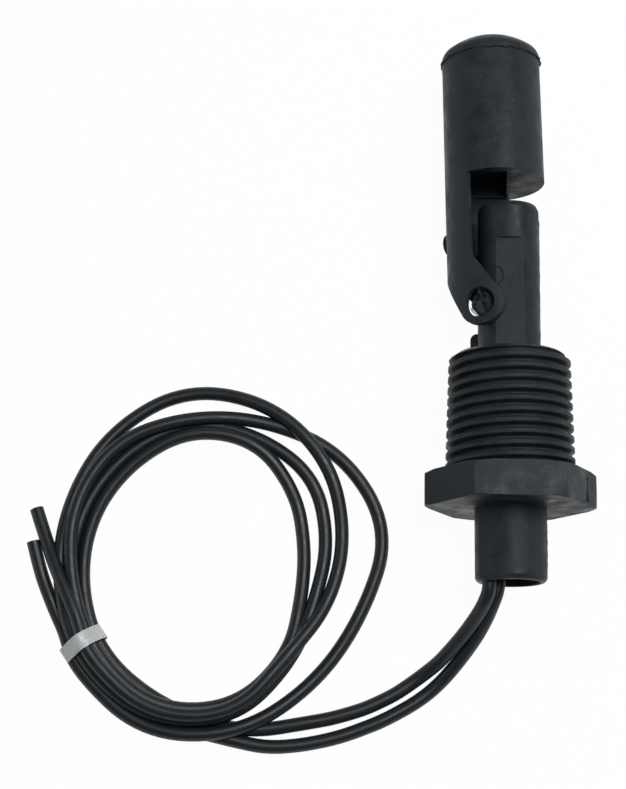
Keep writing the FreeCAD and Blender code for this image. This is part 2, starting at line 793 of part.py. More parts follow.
FLOOR_LINE = -11.35
LEAD_A = [
    (-3.3, -19.3, 1.0),
    (-5.0, -23.5, -1.0),
    (-9.5, -28.1, -6.4),
    (-17.8, -33.5, -11.1),
    (-28.7, -38.8, FLOOR_LINE),
    (-39.7, -40.9, FLOOR_LINE),
]
LEAD_B = [
    (-2.5, -19.3, -1.1),
    (-4.0, -23.8, -3.2),
    (-8.1, -30.7, -8.0),
    (-16.2, -37.7, -11.1),
    (-27.7, -42.7, FLOOR_LINE),
    (-39.4, -43.8, FLOOR_LINE),
    (-51.0, -41.5, FLOOR_LINE),
]
END_A = [
    (-74.0, -22.9, FLOOR_LINE),
    (-76.7, -17.0, FLOOR_LINE),
    (-78.6, -10.4, FLOOR_LINE),
]
END_B = [
    (-72.4, -18.8, -9.1),
    (-75.3, -12.2, -10.4),
    (-77.9, -5.1, FLOOR_LINE),
]


def station(number, radius):
    """A point in the coil's plane, clockwise from the first station."""
    angle = math.radians(FIRST_STATION - number * STATION_STEP)
    return Vector(
        COIL_CENTRE[0] + radius * math.cos(angle), COIL_CENTRE[1] + radius * math.sin(angle), 0
    )


def ring_face(radii, grow):
    """The face inside one outline of the coil: an arc over each pair of steps between stations."""
    points = [station(number, radius + grow) for number, radius in enumerate(radii)]
    points.append(points[0])
    arcs = [Part.Arc(*points[low : low + 3]).toShape() for low in range(0, len(radii), 2)]
    return Part.Face(Part.Wire(arcs))


def make_wires():
    wire = size("wire_radius")
    low = TABLE + size("wire_lift")
    leads = []
    channels = []
    for name, place, route in (("a", EXIT_A, LEAD_A), ("b", EXIT_B, LEAD_B)):
        start = Vector(place[0], -size("potting_face"), place[1])
        points = [start] + [Vector(*point) for point in route]
        solid, path, radii = wire_along(points, wire)
        print(f"wire_{name}_lead: {path.Length:.1f} mm, radii", [round(radius, 1) for radius in radii])
        leads.append(as_piece(f"wire_{name}_lead", solid))
        channel, _, _ = wire_along(points, wire + 0.3)
        channels.append(channel)
    for name, route in (("a", END_A), ("b", END_B)):
        points = [Vector(*point) for point in route]
        solid, path, radii = wire_along(points, wire)
        print(f"wire_{name}_end: {path.Length:.1f} mm, radii", [round(radius, 1) for radius in radii])
        leads.append(as_piece(f"wire_{name}_end", solid))
        channel, _, _ = wire_along(points, wire + 0.3)
        channels.append(channel)
    height = 2 * wire * size("coil_layers")
    outside = ring_face(OUTER_STRAND, wire)
    inside = ring_face(INNER_STRAND, -wire)
    ring = outside.cut(inside).extrude(Vector(0, 0, height))
    ring.translate(Vector(0, 0, low))
    for channel in channels:
        ring = ring.cut(channel)
    coil = as_piece("wire_coil", ring)
    return leads + [coil, make_tape(low, height)]


def make_tape(low, height):
    """A band of clear tape round the coil, between two stations on its left."""
    wire = size("wire_radius")
    slack = size("tape_slack")
    thick = size("tape_thickness")
    length = size("tape_length")
    share = 1.2
    before = int(share)
    part = share - before
    inner = INNER_STRAND[before] * (1 - part) + INNER_STRAND[before + 1] * part - wire - slack
    outer = OUTER_STRAND[before] * (1 - part) + OUTER_STRAND[before + 1] * part + wire + slack
    lift = size("wire_lift") * 0.25
    band = Part.makeBox(outer - inner + 2 * thick, length, height + 2 * (thick + lift))
    band.translate(Vector(inner - thick, -length / 2, low - thick - lift))
    room = Part.makeBox(outer - inner, 2 * length, height + 2 * lift)
    room.translate(Vector(inner, -length, low - lift))
    turn = FreeCAD.Rotation(Vector(0, 0, 1), FIRST_STATION - share * STATION_STEP)
    placement = FreeCAD.Placement(Vector(*COIL_CENTRE, 0), turn)
    return as_piece("tape_band", band.cut(room), placement)


def check_and_write(pieces):
    """Every object has to be computed and every piece a valid solid before any file is written."""
    document.recompute()
    for entry in document.Objects:
        if "Invalid" in entry.State or "Error" in entry.State:
            raise ValueError(f"{entry.Name} failed: {entry.State}")
    for piece in pieces:
        shape = piece.Shape
        if shape.isNull() or not shape.isValid() or not shape.Solids:
            raise ValueError(f"{piece.Label} has no valid solid")
    for piece in pieces:
        piece.Shape.exportStep(f"parts/{piece.Label}.step")
        print(f"{piece.Label:22s} solids {len(piece.Shape.Solids)}  volume {piece.Shape.Volume:9.2f}")


pieces = [
    make_switch_body(),
    make_float(),
    make_float_cap(),
    cross_cylinder("magnet", "magnet_radius", "magnet_front", "magnet_length"),
    cross_cylinder("magnet_plug", "magnet_radius", "plug_front", "float_back + plug_proud - plug_front"),
    make_reed_glass(),
    *make_reed_blades(),
    *make_joints(),
    *make_conductors_and_potting(),
    *make_wires(),
]
check_and_write(pieces)
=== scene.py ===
"""The looks of a side-mounted float level switch.

It lies on a white table with its wires coiled beside it.
"""

import json
import math
from itertools import product

import bmesh
import bpy
from bpy.props import FloatProperty, FloatVectorProperty, IntProperty, PointerProperty
from mathutils import Matrix, Vector, noise

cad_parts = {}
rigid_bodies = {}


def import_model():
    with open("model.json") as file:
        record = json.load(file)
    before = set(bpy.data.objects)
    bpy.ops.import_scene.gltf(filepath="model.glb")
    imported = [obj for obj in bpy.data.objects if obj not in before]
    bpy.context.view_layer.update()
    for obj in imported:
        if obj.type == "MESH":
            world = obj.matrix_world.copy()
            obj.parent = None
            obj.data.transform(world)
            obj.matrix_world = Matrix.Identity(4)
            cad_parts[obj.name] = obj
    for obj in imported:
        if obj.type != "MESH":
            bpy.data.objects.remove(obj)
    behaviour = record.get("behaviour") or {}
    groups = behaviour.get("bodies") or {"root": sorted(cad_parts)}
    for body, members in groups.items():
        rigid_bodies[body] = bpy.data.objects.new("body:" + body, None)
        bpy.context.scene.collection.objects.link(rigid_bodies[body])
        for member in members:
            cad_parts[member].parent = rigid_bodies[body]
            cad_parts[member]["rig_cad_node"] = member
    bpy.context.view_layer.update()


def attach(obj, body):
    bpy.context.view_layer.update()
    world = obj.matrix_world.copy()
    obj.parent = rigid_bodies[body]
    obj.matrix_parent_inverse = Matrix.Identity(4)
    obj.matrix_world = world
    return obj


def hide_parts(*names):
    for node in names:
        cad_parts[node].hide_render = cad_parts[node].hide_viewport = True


bl_info = {
    "name": "Float level switch",
    "version": (1, 0, 0),
    "blender": (4, 5, 0),
    "location": "3D View > Sidebar > Level switch",
    "description": "Makes a side-mounted float level switch with its wires coiled beside it",
    "category": "Object",
}

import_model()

MM = 0.001

# The switch's own frame: towards the side that the float swings to, along the hinge pin, along the body
SWING = Vector((-math.cos(math.radians(30)), 0, -math.sin(math.radians(30))))
PIN = Vector((-math.sin(math.radians(30)), 0, math.cos(math.radians(30))))
ALONG = Vector((0, 1, 0))

TABLE = -12.5 * MM
# The hinge pins' place, towards the swing side and along the body, in millimetres
PIVOT = (1.5, 27.14)
# Turns the switch's own frame level, so that its swing side points to +X
LEVEL = Matrix.Rotation(math.radians(210), 4, "Y")


# Colours and materials


def linear(hex_colour):
    """An sRGB colour written as six hex digits, as linear RGBA."""
    values = []
    for start in (0, 2, 4):
        share = int(hex_colour[start : start + 2], 16) / 255
        values.append(share / 12.92 if share <= 0.04045 else ((share + 0.055) / 1.055) ** 2.4)
    return (*values, 1.0)


def add_node(tree, kind, settings=None, inputs=None):
    """A node with its settings, and its inputs set to values or linked to sockets."""
    node = tree.nodes.new(kind)
    for name, value in (settings or {}).items():
        setattr(node, name, value)
    for key, value in (inputs or {}).items():
        if isinstance(value, bpy.types.NodeSocket):
            tree.links.new(value, node.inputs[key])
        else:
            node.inputs[key].default_value = value
    return node


def new_material(name):
    """A material, its empty tree, and the place on the object that its patterns read."""
    material = bpy.data.materials.new(name)
    material.use_nodes = True
    tree = material.node_tree
    tree.nodes.clear()
    return material, tree, add_node(tree, "ShaderNodeTexCoord").outputs["Object"]


def uneven_material(name, looks, scale, detail, strength, depth, spreads=None):
    """A material whose skin one noise makes uneven, as it does each input that is spread over a range."""
    material, tree, place = new_material(name)
    uneven = add_node(
        tree, "ShaderNodeTexNoise", inputs={"Vector": place, "Scale": scale, "Detail": detail}
    ).outputs["Fac"]
    skin = add_node(
        tree,
        "ShaderNodeBump",
        inputs={"Height": uneven, "Strength": strength, "Distance": depth * MM},
    ).outputs["Normal"]
    inputs = {"Normal": skin, **looks}
    for socket, (low, high) in (spreads or {}).items():
        inputs[socket] = add_node(
            tree,
            "ShaderNodeMapRange",
            inputs={"Value": uneven, "From Min": 0.3, "From Max": 0.7, "To Min": low, "To Max": high},
        ).outputs["Result"]
    surface = add_node(tree, "ShaderNodeBsdfPrincipled", inputs=inputs).outputs["BSDF"]
    add_node(tree, "ShaderNodeOutputMaterial", inputs={"Surface": surface})
    return material


def moulded_polypropylene(colours):
    """Injection-moulded black polypropylene: a dull satin skin, a little dusty, with softened edges."""
    material, tree, place = new_material("moulded_black_polypropylene")
    patterns = {}
    for name, settings in (
        # Flow marks and handling dust, in patches about 4 mm across
        ("patches", {"Scale": 240.0, "Detail": 5.0, "Roughness": 0.62}),
        # Pale flecks of lint and scuffed skin, about 0.3 mm across and 3 mm apart
        ("flecks", {"Scale": 2100.0, "Detail": 2.0, "Roughness": 0.4}),
        # The spark-eroded mould leaves a grain of about 0.12 mm, drawn at 0.2 mm so that it shows
        ("grain", {"Scale": 4600.0, "Detail": 3.0, "Roughness": 0.6}),
        # Sink and flow waves a few millimetres long
        ("waves", {"Scale": 330.0, "Detail": 2.0}),
    ):
        inputs = {"Vector": place, **settings}
        patterns[name] = add_node(tree, "ShaderNodeTexNoise", inputs=inputs).outputs["Fac"]
    ranges = {}
    for name, pattern, low, high, bottom, top in (
        ("dust", "patches", 0.38, 0.72, 0.0, 1.0),
        ("lint", "flecks", 0.71, 0.78, 0.0, 0.32),
        ("roughness", "patches", 0.36, 0.64, 0.36, 0.64),
    ):
        inputs = {"Value": patterns[pattern], "From Min": low, "From Max": high}
        inputs.update({"To Min": bottom, "To Max": top})
        ranges[name] = add_node(tree, "ShaderNodeMapRange", inputs=inputs).outputs["Result"]
    tint = (*colours.plastic, 1)
    for share, colour in (("dust", (*colours.plastic_dust, 1)), ("lint", linear("6f777a"))):
        inputs = {"Factor": ranges[share], 6: tint, 7: colour}
        tint = add_node(tree, "ShaderNodeMix", {"data_type": "RGBA"}, inputs).outputs[2]
    skin = add_node(
        tree, "ShaderNodeBevel", {"samples": 6}, {"Radius": 0.12 * MM}
    ).outputs["Normal"]
    for pattern, strength, depth in (("waves", 0.6, 0.16), ("grain", 0.3, 0.02)):
        inputs = {"Height": patterns[pattern], "Normal": skin}
        inputs.update({"Strength": strength, "Distance": depth * MM})
        skin = add_node(tree, "ShaderNodeBump", inputs=inputs).outputs["Normal"]
    looks = {"Base Color": tint, "Roughness": ranges["roughness"], "Normal": skin}
    looks.update({"IOR": 1.49, "Specular IOR Level": 0.14})
    surface = add_node(tree, "ShaderNodeBsdfPrincipled", inputs=looks).outputs["BSDF"]
    add_node(tree, "ShaderNodeOutputMaterial", inputs={"Surface": surface})
    return material


def painted_glint_material():
    """A painted highlight: pale, matt and cloudy plastic that stands in for a glint on the edge of a hinge
    hole.
    """
    material, tree, place = new_material("painted_glint_plastic")
    # Uneven streaks in the painted highlight, about 0.3 mm apart
    strands = add_node(
        tree, "ShaderNodeTexNoise", inputs={"Vector": place, "Scale": 3000.0, "Detail": 2.0}
    ).outputs["Fac"]
    inputs = {"Factor": strands, 6: linear("8d9294"), 7: linear("eef1f1")}
    tint = add_node(tree, "ShaderNodeMix", {"data_type": "RGBA"}, inputs).outputs[2]
    looks = {"Base Color": tint, "Roughness": 0.6}
    surface = add_node(tree, "ShaderNodeBsdfPrincipled", inputs=looks).outputs["BSDF"]
    add_node(tree, "ShaderNodeOutputMaterial", inputs={"Surface": surface})
    return material


def cast_potting(colours):
    """Black casting epoxy: poured, so its skin is glossy and pulled up in waves."""
    looks = {"Base Color": (*colours.potting, 1), "Roughness": 0.16}
    looks.update({"IOR": 1.55, "Specular IOR Level": 0.2})
    # Pour ripples about 1.5 mm across
    return uneven_material(
        "cast_black_epoxy", looks, scale=700.0, detail=3.0, strength=0.3, depth=0.1
    )


def wire_insulation(colours):
    """Extruded soft PVC: satin, with a faint waviness along the wire."""
    looks = {"Base Color": (*colours.insulation, 1), "IOR": 1.53, "Specular IOR Level": 0.35}
    satin = {"Roughness": (0.36, 0.5)}
    # Extrusion waves about 2 mm long
    return uneven_material(
        "extruded_black_pvc", looks, scale=520.0, detail=3.0, strength=0.25, depth=0.08, spreads=satin
    )


def frosted_tape(colours):
    """Frosted polypropylene tape: pale, half see-through, with fine creases across it."""
    looks = {"Base Color": (*colours.tape, 1), "Roughness": 0.32, "IOR": 1.49}
    clouds = {"Alpha": (0.78, 0.97)}
    # Creases about 0.6 mm apart
    return uneven_material(
        "frosted_polypropylene_tape",
        looks,
        scale=1500.0,
        detail=4.0,
        strength=0.5,
        depth=0.08,
        spreads=clouds,
    )


def sealed_glass():
    """Drawn lead glass of a reed capsule: clear with a green cast, and smooth from the flame."""
    looks = {"Base Color": linear("c9e0cf"), "Roughness": 0.04, "IOR": 1.52}
    looks["Transmission Weight"] = 0.95
    # Flame ripples about 1 mm long
    return uneven_material(
        "drawn_green_glass", looks, scale=900.0, detail=1.0, strength=0.2, depth=0.02
    )


def shrunk_sleeve():
    """Heat-shrunk polyolefin sleeve: black, slightly wrinkled and glossy."""
    looks = {"Base Color": linear("1b1c1e"), "Roughness": 0.35, "IOR": 1.5}
    # Shrink wrinkles about 0.8 mm apart
    return uneven_material(
        "shrunk_black_polyolefin", looks, scale=1200.0, detail=2.0, strength=0.4, depth=0.05
    )


def drawn_metal(name, colour, roughness):
    """Drawn or ground metal: fine lines in its roughness, no colour of its own besides the metal's."""
    material, tree, place = new_material(name)
    # Drawing lines, 0.15 mm apart and long along the body
    stretched = add_node(
        tree, "ShaderNodeMapping", inputs={"Vector": place, "Scale": (6500.0, 500.0, 6500.0)}
    ).outputs["Vector"]
    lines = add_node(
        tree, "ShaderNodeTexNoise", inputs={"Vector": stretched, "Scale": 1.0, "Detail": 2.0}
    ).outputs["Fac"]
    inputs = {"Value": lines, "From Min": 0.3, "From Max": 0.7}
    inputs.update({"To Min": roughness - 0.08, "To Max": roughness + 0.08})
    rough = add_node(tree, "ShaderNodeMapRange", inputs=inputs).outputs["Result"]
    looks = {"Base Color": linear(colour), "Metallic": 1.0, "Roughness": rough}
    surface = add_node(tree, "ShaderNodeBsdfPrincipled", inputs=looks).outputs["BSDF"]
    add_node(tree, "ShaderNodeOutputMaterial", inputs={"Surface": surface})
    return material


def white_table():
    """Matt white laminate, shown to the camera as a white page that keeps the object's faint shadow."""
    material, tree, place = new_material("matt_white_laminate")
    # Fine grain about 1 mm across
    grain = add_node(
        tree, "ShaderNodeTexNoise", inputs={"Vector": place, "Scale": 900.0, "Detail": 2.0}
    ).outputs["Fac"]
    skin = add_node(
        tree, "ShaderNodeBump", inputs={"Height": grain, "Strength": 0.1, "Distance": 0.02 * MM}
    ).outputs["Normal"]
    looks = {"Base Color": linear("f2f2f2"), "Roughness": 0.7, "Specular IOR Level": 0.1}
    paint = add_node(
        tree, "ShaderNodeBsdfPrincipled", inputs={"Normal": skin, **looks}
    ).outputs["BSDF"]
    page = add_node(
        tree, "ShaderNodeEmission", inputs={"Color": (1, 1, 1, 1), "Strength": 1.0}
    ).outputs["Emission"]
    rays = add_node(tree, "ShaderNodeLightPath").outputs
    share = rays["Is Camera Ray"]
    for operation, second in (
        ("MAXIMUM", rays["Is Glossy Ray"]),
        ("MAXIMUM", rays["Is Transmission Ray"]),
        ("MULTIPLY", 0.97),
    ):
        inputs = {0: share, 1: second}
        share = add_node(tree, "ShaderNodeMath", {"operation": operation}, inputs).outputs[0]
    surface = add_node(
        tree, "ShaderNodeMixShader", inputs={0: share, 1: paint, 2: page}
    ).outputs["Shader"]
    add_node(tree, "ShaderNodeOutputMaterial", inputs={"Surface": surface})
    return material


# Mesh tools


def switch_point(swing, pin, along):
    """A point of the switch's own frame, given in millimetres."""
    return (SWING * swing + PIN * pin + ALONG * along) * MM


def new_object(name, points, faces):
    """An object from points and faces, with its doubles merged and its faces outwards."""
    mesh = bpy.data.meshes.new(name)
    mesh.from_pydata([tuple(point) for point in points], [], faces)
    piece = bpy.data.objects.new(name, mesh)
    bpy.context.scene.collection.objects.link(piece)
    face_outwards(piece)
    return piece


def face_outwards(piece):
    """Merges doubles, and turns every face of a mesh outwards."""
    shape = bmesh.new()
    shape.from_mesh(piece.data)
    bmesh.ops.remove_doubles(shape, verts=shape.verts, dist=1e-7)
    bmesh.ops.recalc_face_normals(shape, faces=shape.faces)
    shape.to_mesh(piece.data)
    shape.free()


def round_steps(steps):
    """The cosine and sine of each step round a full circle."""
    turns = [2 * math.pi * step / steps for step in range(steps)]
    return [(math.cos(turn), math.sin(turn)) for turn in turns]


def ring_faces(rows, steps, loop=False):
    """Faces between closed rows of points, and from the last row back to the first in a loop."""
    faces = []
    for row in range(rows if loop else rows - 1):
        low = row * steps
        high = (row + 1) % rows * steps
        for step in range(steps):
            after = (step + 1) % steps
            faces.append([low + step, low + after, high + after, high + step])
    return faces


def turned(name, profile, centre=0.0, steps=160):
    """A closed turned solid from a profile of (radius, along) pairs that starts and ends on its axis."""
    points = []
    rings = []
    for radius, along in profile:
        if radius < 1e-6:
            rings.append([len(points)] * steps)
            points.append(switch_point(centre, 0, along))
            continue
        rings.append(list(range(len(points), len(points) + steps)))
        for cosine, sine in round_steps(steps):
            points.append(switch_point(centre + radius * cosine, radius * sine, along))
    faces = []
    for low, high in zip(rings, rings[1:]):
        for step in range(steps):
            after = (step + 1) % steps
            corners = [low[step], low[after], high[after], high[step]]
            faces.append(list(dict.fromkeys(corners)))
    return new_object(name, points, [face for face in faces if len(face) > 2])


def prism(name, outline, low, high):
    """A solid from an outline of (swing, along) pairs, run along the pin from low to high."""
    count = len(outline)
    points = [switch_point(x, place, y) for place in (low, high) for x, y in outline]
    faces = [list(range(count)), list(range(count, 2 * count)), *ring_faces(2, count)]
    return new_object(name, points, faces)


def block(name, low, high, slant=0.0):
    """A box between two corners in millimetres, along the frame's axes, or leaning in X as it rises."""
    points = [Vector((x + slant * z, y, z)) * MM for x, y, z in product(*zip(low, high))]
    faces = [[0, 1, 3, 2], [4, 6, 7, 5], [0, 4, 5, 1], [2, 3, 7, 6], [0, 2, 6, 4], [1, 5, 7, 3]]
    return new_object(name, points, faces)


def rod(name, start, end, radius, steps=64):
    """A closed cylinder between two points in metres."""
    run = end - start
    turn = run.to_track_quat("Z", "Y").to_matrix()
    circle = [Vector((radius * cosine, radius * sine, 0)) for cosine, sine in round_steps(steps)]
    points = [place + turn @ point for place in (start, end) for point in circle]
    faces = [list(range(steps)), list(range(steps, 2 * steps)), *ring_faces(2, steps)]
    return new_object(name, points, faces)


def arc(centre, radius, start, end, steps):
    """Points on an arc, as pairs, from one angle to another in degrees."""
    points = []
    for step in range(steps + 1):
        angle = math.radians(start + (end - start) * step / steps)
        points.append((centre[0] + radius * math.cos(angle), centre[1] + radius * math.sin(angle)))
    return points


def apply_modifiers(piece):
    """Turns the evaluated object into a plain mesh and removes its modifiers."""
    graph = bpy.context.evaluated_depsgraph_get()
    mesh = bpy.data.meshes.new_from_object(piece.evaluated_get(graph))
    piece.modifiers.clear()
    old = piece.data
    piece.data = mesh
    bpy.data.meshes.remove(old)
    return piece


def combine(base, tool, operation):
    """A boolean of two closed solids, which has to leave a closed one; the tool is used up."""
    change = base.modifiers.new("combine", "BOOLEAN")
    change.object = tool
    change.operation = operation
    change.solver = "EXACT"
    apply_modifiers(base)
    bpy.data.objects.remove(tool)
    shape = bmesh.new()
    shape.from_mesh(base.data)
    closed = all(edge.is_manifold for edge in shape.edges)
    shape.free()
    if not closed:
        raise RuntimeError(f"{base.name} is open after a {operation.lower()}")
    return base


def join(name, parts):
    """One object from the meshes of several."""
    shape = bmesh.new()
    for part in parts:
        shape.from_mesh(part.data)
        bpy.data.objects.remove(part)
    mesh = bpy.data.meshes.new(name)
    shape.to_mesh(mesh)
    shape.free()
    piece = bpy.data.objects.new(name, mesh)
    bpy.context.scene.collection.objects.link(piece)
    return piece


def finish(piece, material, body, angle=32, replaces=()):
    """Shading, material, slot and the body that a finished piece rides on."""
    piece.data.materials.clear()
    piece.data.materials.append(material)
    if piece.type == "MESH":
        piece.data.shade_smooth()
        piece.data.set_sharp_from_angle(angle=math.radians(angle))
    if replaces:
        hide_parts(*replaces)
    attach(piece, body)
    return piece


# Sizes and colours that a user would change

LENGTH = {"precision": 6, "unit": "LENGTH"}
COLOUR = {"size": 3, "subtype": "COLOR"}


class SwitchSizes(bpy.types.PropertyGroup):
    """Sizes of the moulded parts and the wires"""

    thread_pitch: FloatProperty(
        name="Thread pitch",
        description="Taper pipe thread, one crest to the next",
        default=1.814 * MM,
        **LENGTH,
    )
    thread_root: FloatProperty(
        name="Thread root",
        description="Root radius of the thread at the flange",
        default=9.42 * MM,
        **LENGTH,
    )
    thread_depth: FloatProperty(
        name="Thread depth", description="Crest to root", default=1.2 * MM, **LENGTH
    )
    thread_length: FloatProperty(
        name="Thread length",
        description="Threaded shank from the flange to its end",
        default=19.64 * MM,
        **LENGTH,
    )
    thread_rows: IntProperty(
        name="Thread rows", description="Rows of faces along the thread", default=300, min=40
    )
    thread_columns: IntProperty(
        name="Thread columns", description="Faces round the thread", default=180, min=24
    )
    wire_diameter: FloatProperty(
        name="Wire diameter",
        description="Outside of each wire's insulation",
        default=2.3 * MM,
        **LENGTH,
    )
    wire_a_length: FloatProperty(
        name="First wire's length",
        description="From the potting to its cut end",
        default=0.405,
        **LENGTH,
    )
    wire_b_length: FloatProperty(
        name="Second wire's length",
        description="From the potting to its cut end",
        default=0.42,
        **LENGTH,
    )
    tape_width: FloatProperty(
        name="Tape width", description="Tape band, along the coil", default=2.6 * MM, **LENGTH
    )


class SwitchColours(bpy.types.PropertyGroup):
    """Colours of the plastics"""

    plastic: FloatVectorProperty(
        name="Plastic", description="Moulded body and float", default=linear("21272b")[:3], **COLOUR
    )
    plastic_dust: FloatVectorProperty(
        name="Dusty plastic",
        description="The same plastic where it is scuffed",
        default=linear("2d353a")[:3],
        **COLOUR,
    )
    potting: FloatVectorProperty(
        name="Potting", description="Cast resin in the tail", default=linear("0c0d0f")[:3], **COLOUR
    )
    insulation: FloatVectorProperty(
        name="Wire insulation", description="Both wires", default=linear("141a1e")[:3], **COLOUR
    )
    tape: FloatVectorProperty(
        name="Tape", description="Band round the coil", default=linear("c6c8c9")[:3], **COLOUR
    )


SHARED = {}


def sizes():
    return bpy.context.scene.level_switch_sizes


def colours():
    return bpy.context.scene.level_switch_colours


def shared(maker, *values):
    """A material made once and shared by the pieces that have that finish."""
    found = bpy.data.materials.get(SHARED.get(maker.__name__, ""))
    if found is None:
        found = maker(*values)
        SHARED[maker.__name__] = found.name
    return found


# Stage

# The camera's place in millimetres, and its turns in degrees
CAMERA_PLACE = (-32.234, -60.926, 316.097)
CAMERA_TILT = 13.115
CAMERA_ROLL = 0.826
FOCAL_LENGTH = 90.364
# The floor reaches this far each way and ends in walls, in metres, so that no view looks past it
FLOOR_REACH = 6.0
WALL_TOP = 1.6
WORLD_GLOW = 0.19
# Each softbox's place, width and height in metres, and its power in watts
SOFTBOXES = {
    "key_softbox": ((0.152, 0.115, 0.48), 0.12, 0.38, 2.35),
    "fill_softbox": ((-0.45, 0.05, 0.14), 0.30, 0.30, 0.2),
}


class LEVELSWITCH_OT_stage(bpy.types.Operator):
    """Table, lamps and camera"""

    bl_idname = "levelswitch.stage"
    bl_label = "Set the stage"

    def execute(self, context):
        scene = context.scene
        scene.view_settings.view_transform = "Standard"

        camera = bpy.data.cameras.new("camera")
        camera.lens = FOCAL_LENGTH
        camera.sensor_width = 36
        camera.clip_start = 0.01
        camera.clip_end = 10
        viewer = bpy.data.objects.new("camera", camera)
        tilt = Matrix.Rotation(math.radians(CAMERA_TILT), 4, "X")
        roll = Matrix.Rotation(math.radians(CAMERA_ROLL), 4, "Z")
        place = Matrix.Translation(Vector(CAMERA_PLACE) * MM)
        viewer.matrix_world = place @ tilt @ roll
        scene.collection.objects.link(viewer)
        scene.camera = viewer

        square = [(-FLOOR_REACH, -FLOOR_REACH), (FLOOR_REACH, -FLOOR_REACH)]
        square += [(FLOOR_REACH, FLOOR_REACH), (-FLOOR_REACH, FLOOR_REACH)]
        corners = [(x, y, height) for height in (TABLE, WALL_TOP) for x, y in square]
        walls = [[side, side + 4, (side + 1) % 4 + 4, (side + 1) % 4] for side in range(4)]
        table = new_object("table", corners, [[0, 1, 2, 3], *walls])
        table.data.materials.append(white_table())

        world = bpy.data.worlds.new("studio")
        scene.world = world
        world.use_nodes = True
        tree = world.node_tree
        tree.nodes.clear()
        inputs = {"Color": linear("eef2f6"), "Strength": WORLD_GLOW}
        glow = add_node(tree, "ShaderNodeBackground", inputs=inputs).outputs["Background"]
        add_node(tree, "ShaderNodeOutputWorld", inputs={"Surface": glow})

        for name, (place, width, height, power) in SOFTBOXES.items():
            light = bpy.data.lights.new(name, "AREA")
            light.shape = "RECTANGLE"
            light.size = width
            light.size_y = height
            light.energy = power
            # Each softbox faces the thread, where the frame's origin is
            holder = bpy.data.objects.new(name, light)
            holder.location = place
            holder.rotation_euler = (-Vector(place)).to_track_quat("-Z", "Y").to_euler()
            scene.collection.objects.link(holder)
        return {"FINISHED"}


# Wires: each is one smooth line through the points of its route, in millimetres

COIL_CENTRE = (-48.75, -13.2)
# Heights of a wire on the table, on one wire and on two
LEVELS = (-11.35, -9.5, -7.8)

# A lead and an end are points, and a turn is its angle and radius round the coil and its level
LEAD_A = [
    (-3.6, -17.2, 1), (-3.54, -18.9, 0.95), (-4.18, -20.8, 0), (-5.12, -22.6, -1.9),
    (-6.36, -24.4, -3.9), (-7.87, -26.37, -6), (-9.55, -28.23, -8), (-11.12, -29.9, -9.6),
    (-13.32, -31.6, -10.9), (-15.22, -33.0, -11.35), (-17.82, -34.8, -11.35),
    (-20.32, -36.1, -11.35), (-22.92, -37.3, -11.35), (-25.32, -38.1, -11.35),
    (-27.85, -38.83, -11.35), (-30.17, -39.37, -11.35),
]
TURNS_A = [
    (-80, 29.0, 0), (-110, 25.2, 0), (-140, 23.9, 0), (-170, 22.1, 0), (160, 21.5, 0.2),
    (130, 21.4, 0.5), (100, 22.3, 0.9), (70, 21.4, 0.8), (40, 18.1, 0), (10, 15.8, 0),
    (-20, 16.2, 0), (-50, 20.5, 0), (-80, 24.9, 0.3), (-110, 26.5, 1), (-140, 24.9, 1),
    (-170, 23.6, 1.1), (160, 25.0, 1), (130, 25.8, 0.9), (100, 24.5, 0.9), (70, 25.5, 0.1),
    (40, 28.6, 0), (10, 30.3, 0), (-20, 26.8, 0), (-50, 26.9, 0.1), (-80, 29.3, 1.1),
    (-110, 30.6, 0.8), (-140, 28.6, 0.2),
]
END_A = [
    (-72.6, -25.6, -11.35), (-74.1, -22.6, -11.35), (-75.6, -19.3, -11.35), (-77.3, -15.0, -11.35),
    (-78.5, -10.5, -11.35),
]
LEAD_B = [
    (-1.85, -17.1, -1.1), (-2.06, -18.9, -1.2), (-2.67, -20.7, -1.9), (-3.58, -23.0, -3.6),
    (-4.79, -25.4, -5.7), (-6.4, -27.8, -7.7), (-8.4, -30.4, -9.6), (-10.4, -32.7, -10.9),
    (-12.7, -34.8, -11.35), (-15.1, -36.5, -11.35), (-17.7, -38.0, -11.35), (-20.4, -39.4, -11.35),
    (-23.1, -40.5, -11.35), (-25.7, -41.5, -11.35), (-28.4, -42.3, -11.35), (-31.0, -42.9, -11.35),
    (-33.8, -43.4, -11.35), (-37.9, -43.8, -11.35), (-42.0, -43.4, -11.35),
]
TURNS_B = [
    (-110, 28.0, 0), (-140, 26.2, 0), (-170, 24.3, 0), (160, 23.6, 0), (130, 23.6, 0),
    (100, 24.1, 0), (70, 22.6, 0), (40, 22.3, 0), (10, 19.8, 0), (-20, 18.6, 0), (-50, 21.6, 0.8),
    (-80, 26.8, 1), (-110, 28.4, 1), (-140, 27.2, 1), (-170, 25.9, 0.6), (160, 26.1, 0),
    (130, 27.9, 0), (100, 29.9, 0), (70, 28.3, 0.6), (40, 25.7, 0.9), (10, 22.7, 0),
    (-20, 21.0, 0.4), (-50, 20.6, 1.9), (-80, 26.2, 2), (-110, 27.6, 2), (-140, 25.8, 2),
]
END_B = [
    (-70.2, -23.9, -8.05), (-72.1, -19.8, -8.45), (-74.2, -15.5, -9.37), (-76.1, -10.8, -10.79),
    (-78.2, -5.0, -11.35),
]

# The tape's loop round the strands, outwards from the coil's centre and up, and where it lies
TAPE_ANGLE = -145.5
TAPE_LOW = -12.43
TAPE_LOOP = [(21.2, -11.4), (21.3, -12.0)]
TAPE_LOOP += [(out, TAPE_LOW) for out in (21.9, 24.0, 26.5, 28.4)]
TAPE_LOOP += [(28.95, -12.0), (29.05, -11.0), (28.75, -10.15), (27.5, -8.6), (26.3, -7.0)]
TAPE_LOOP += [(25.75, -6.5), (25.1, -6.35), (24.45, -6.5), (23.6, -6.95), (22.3, -8.3), (21.3, -10.2)]


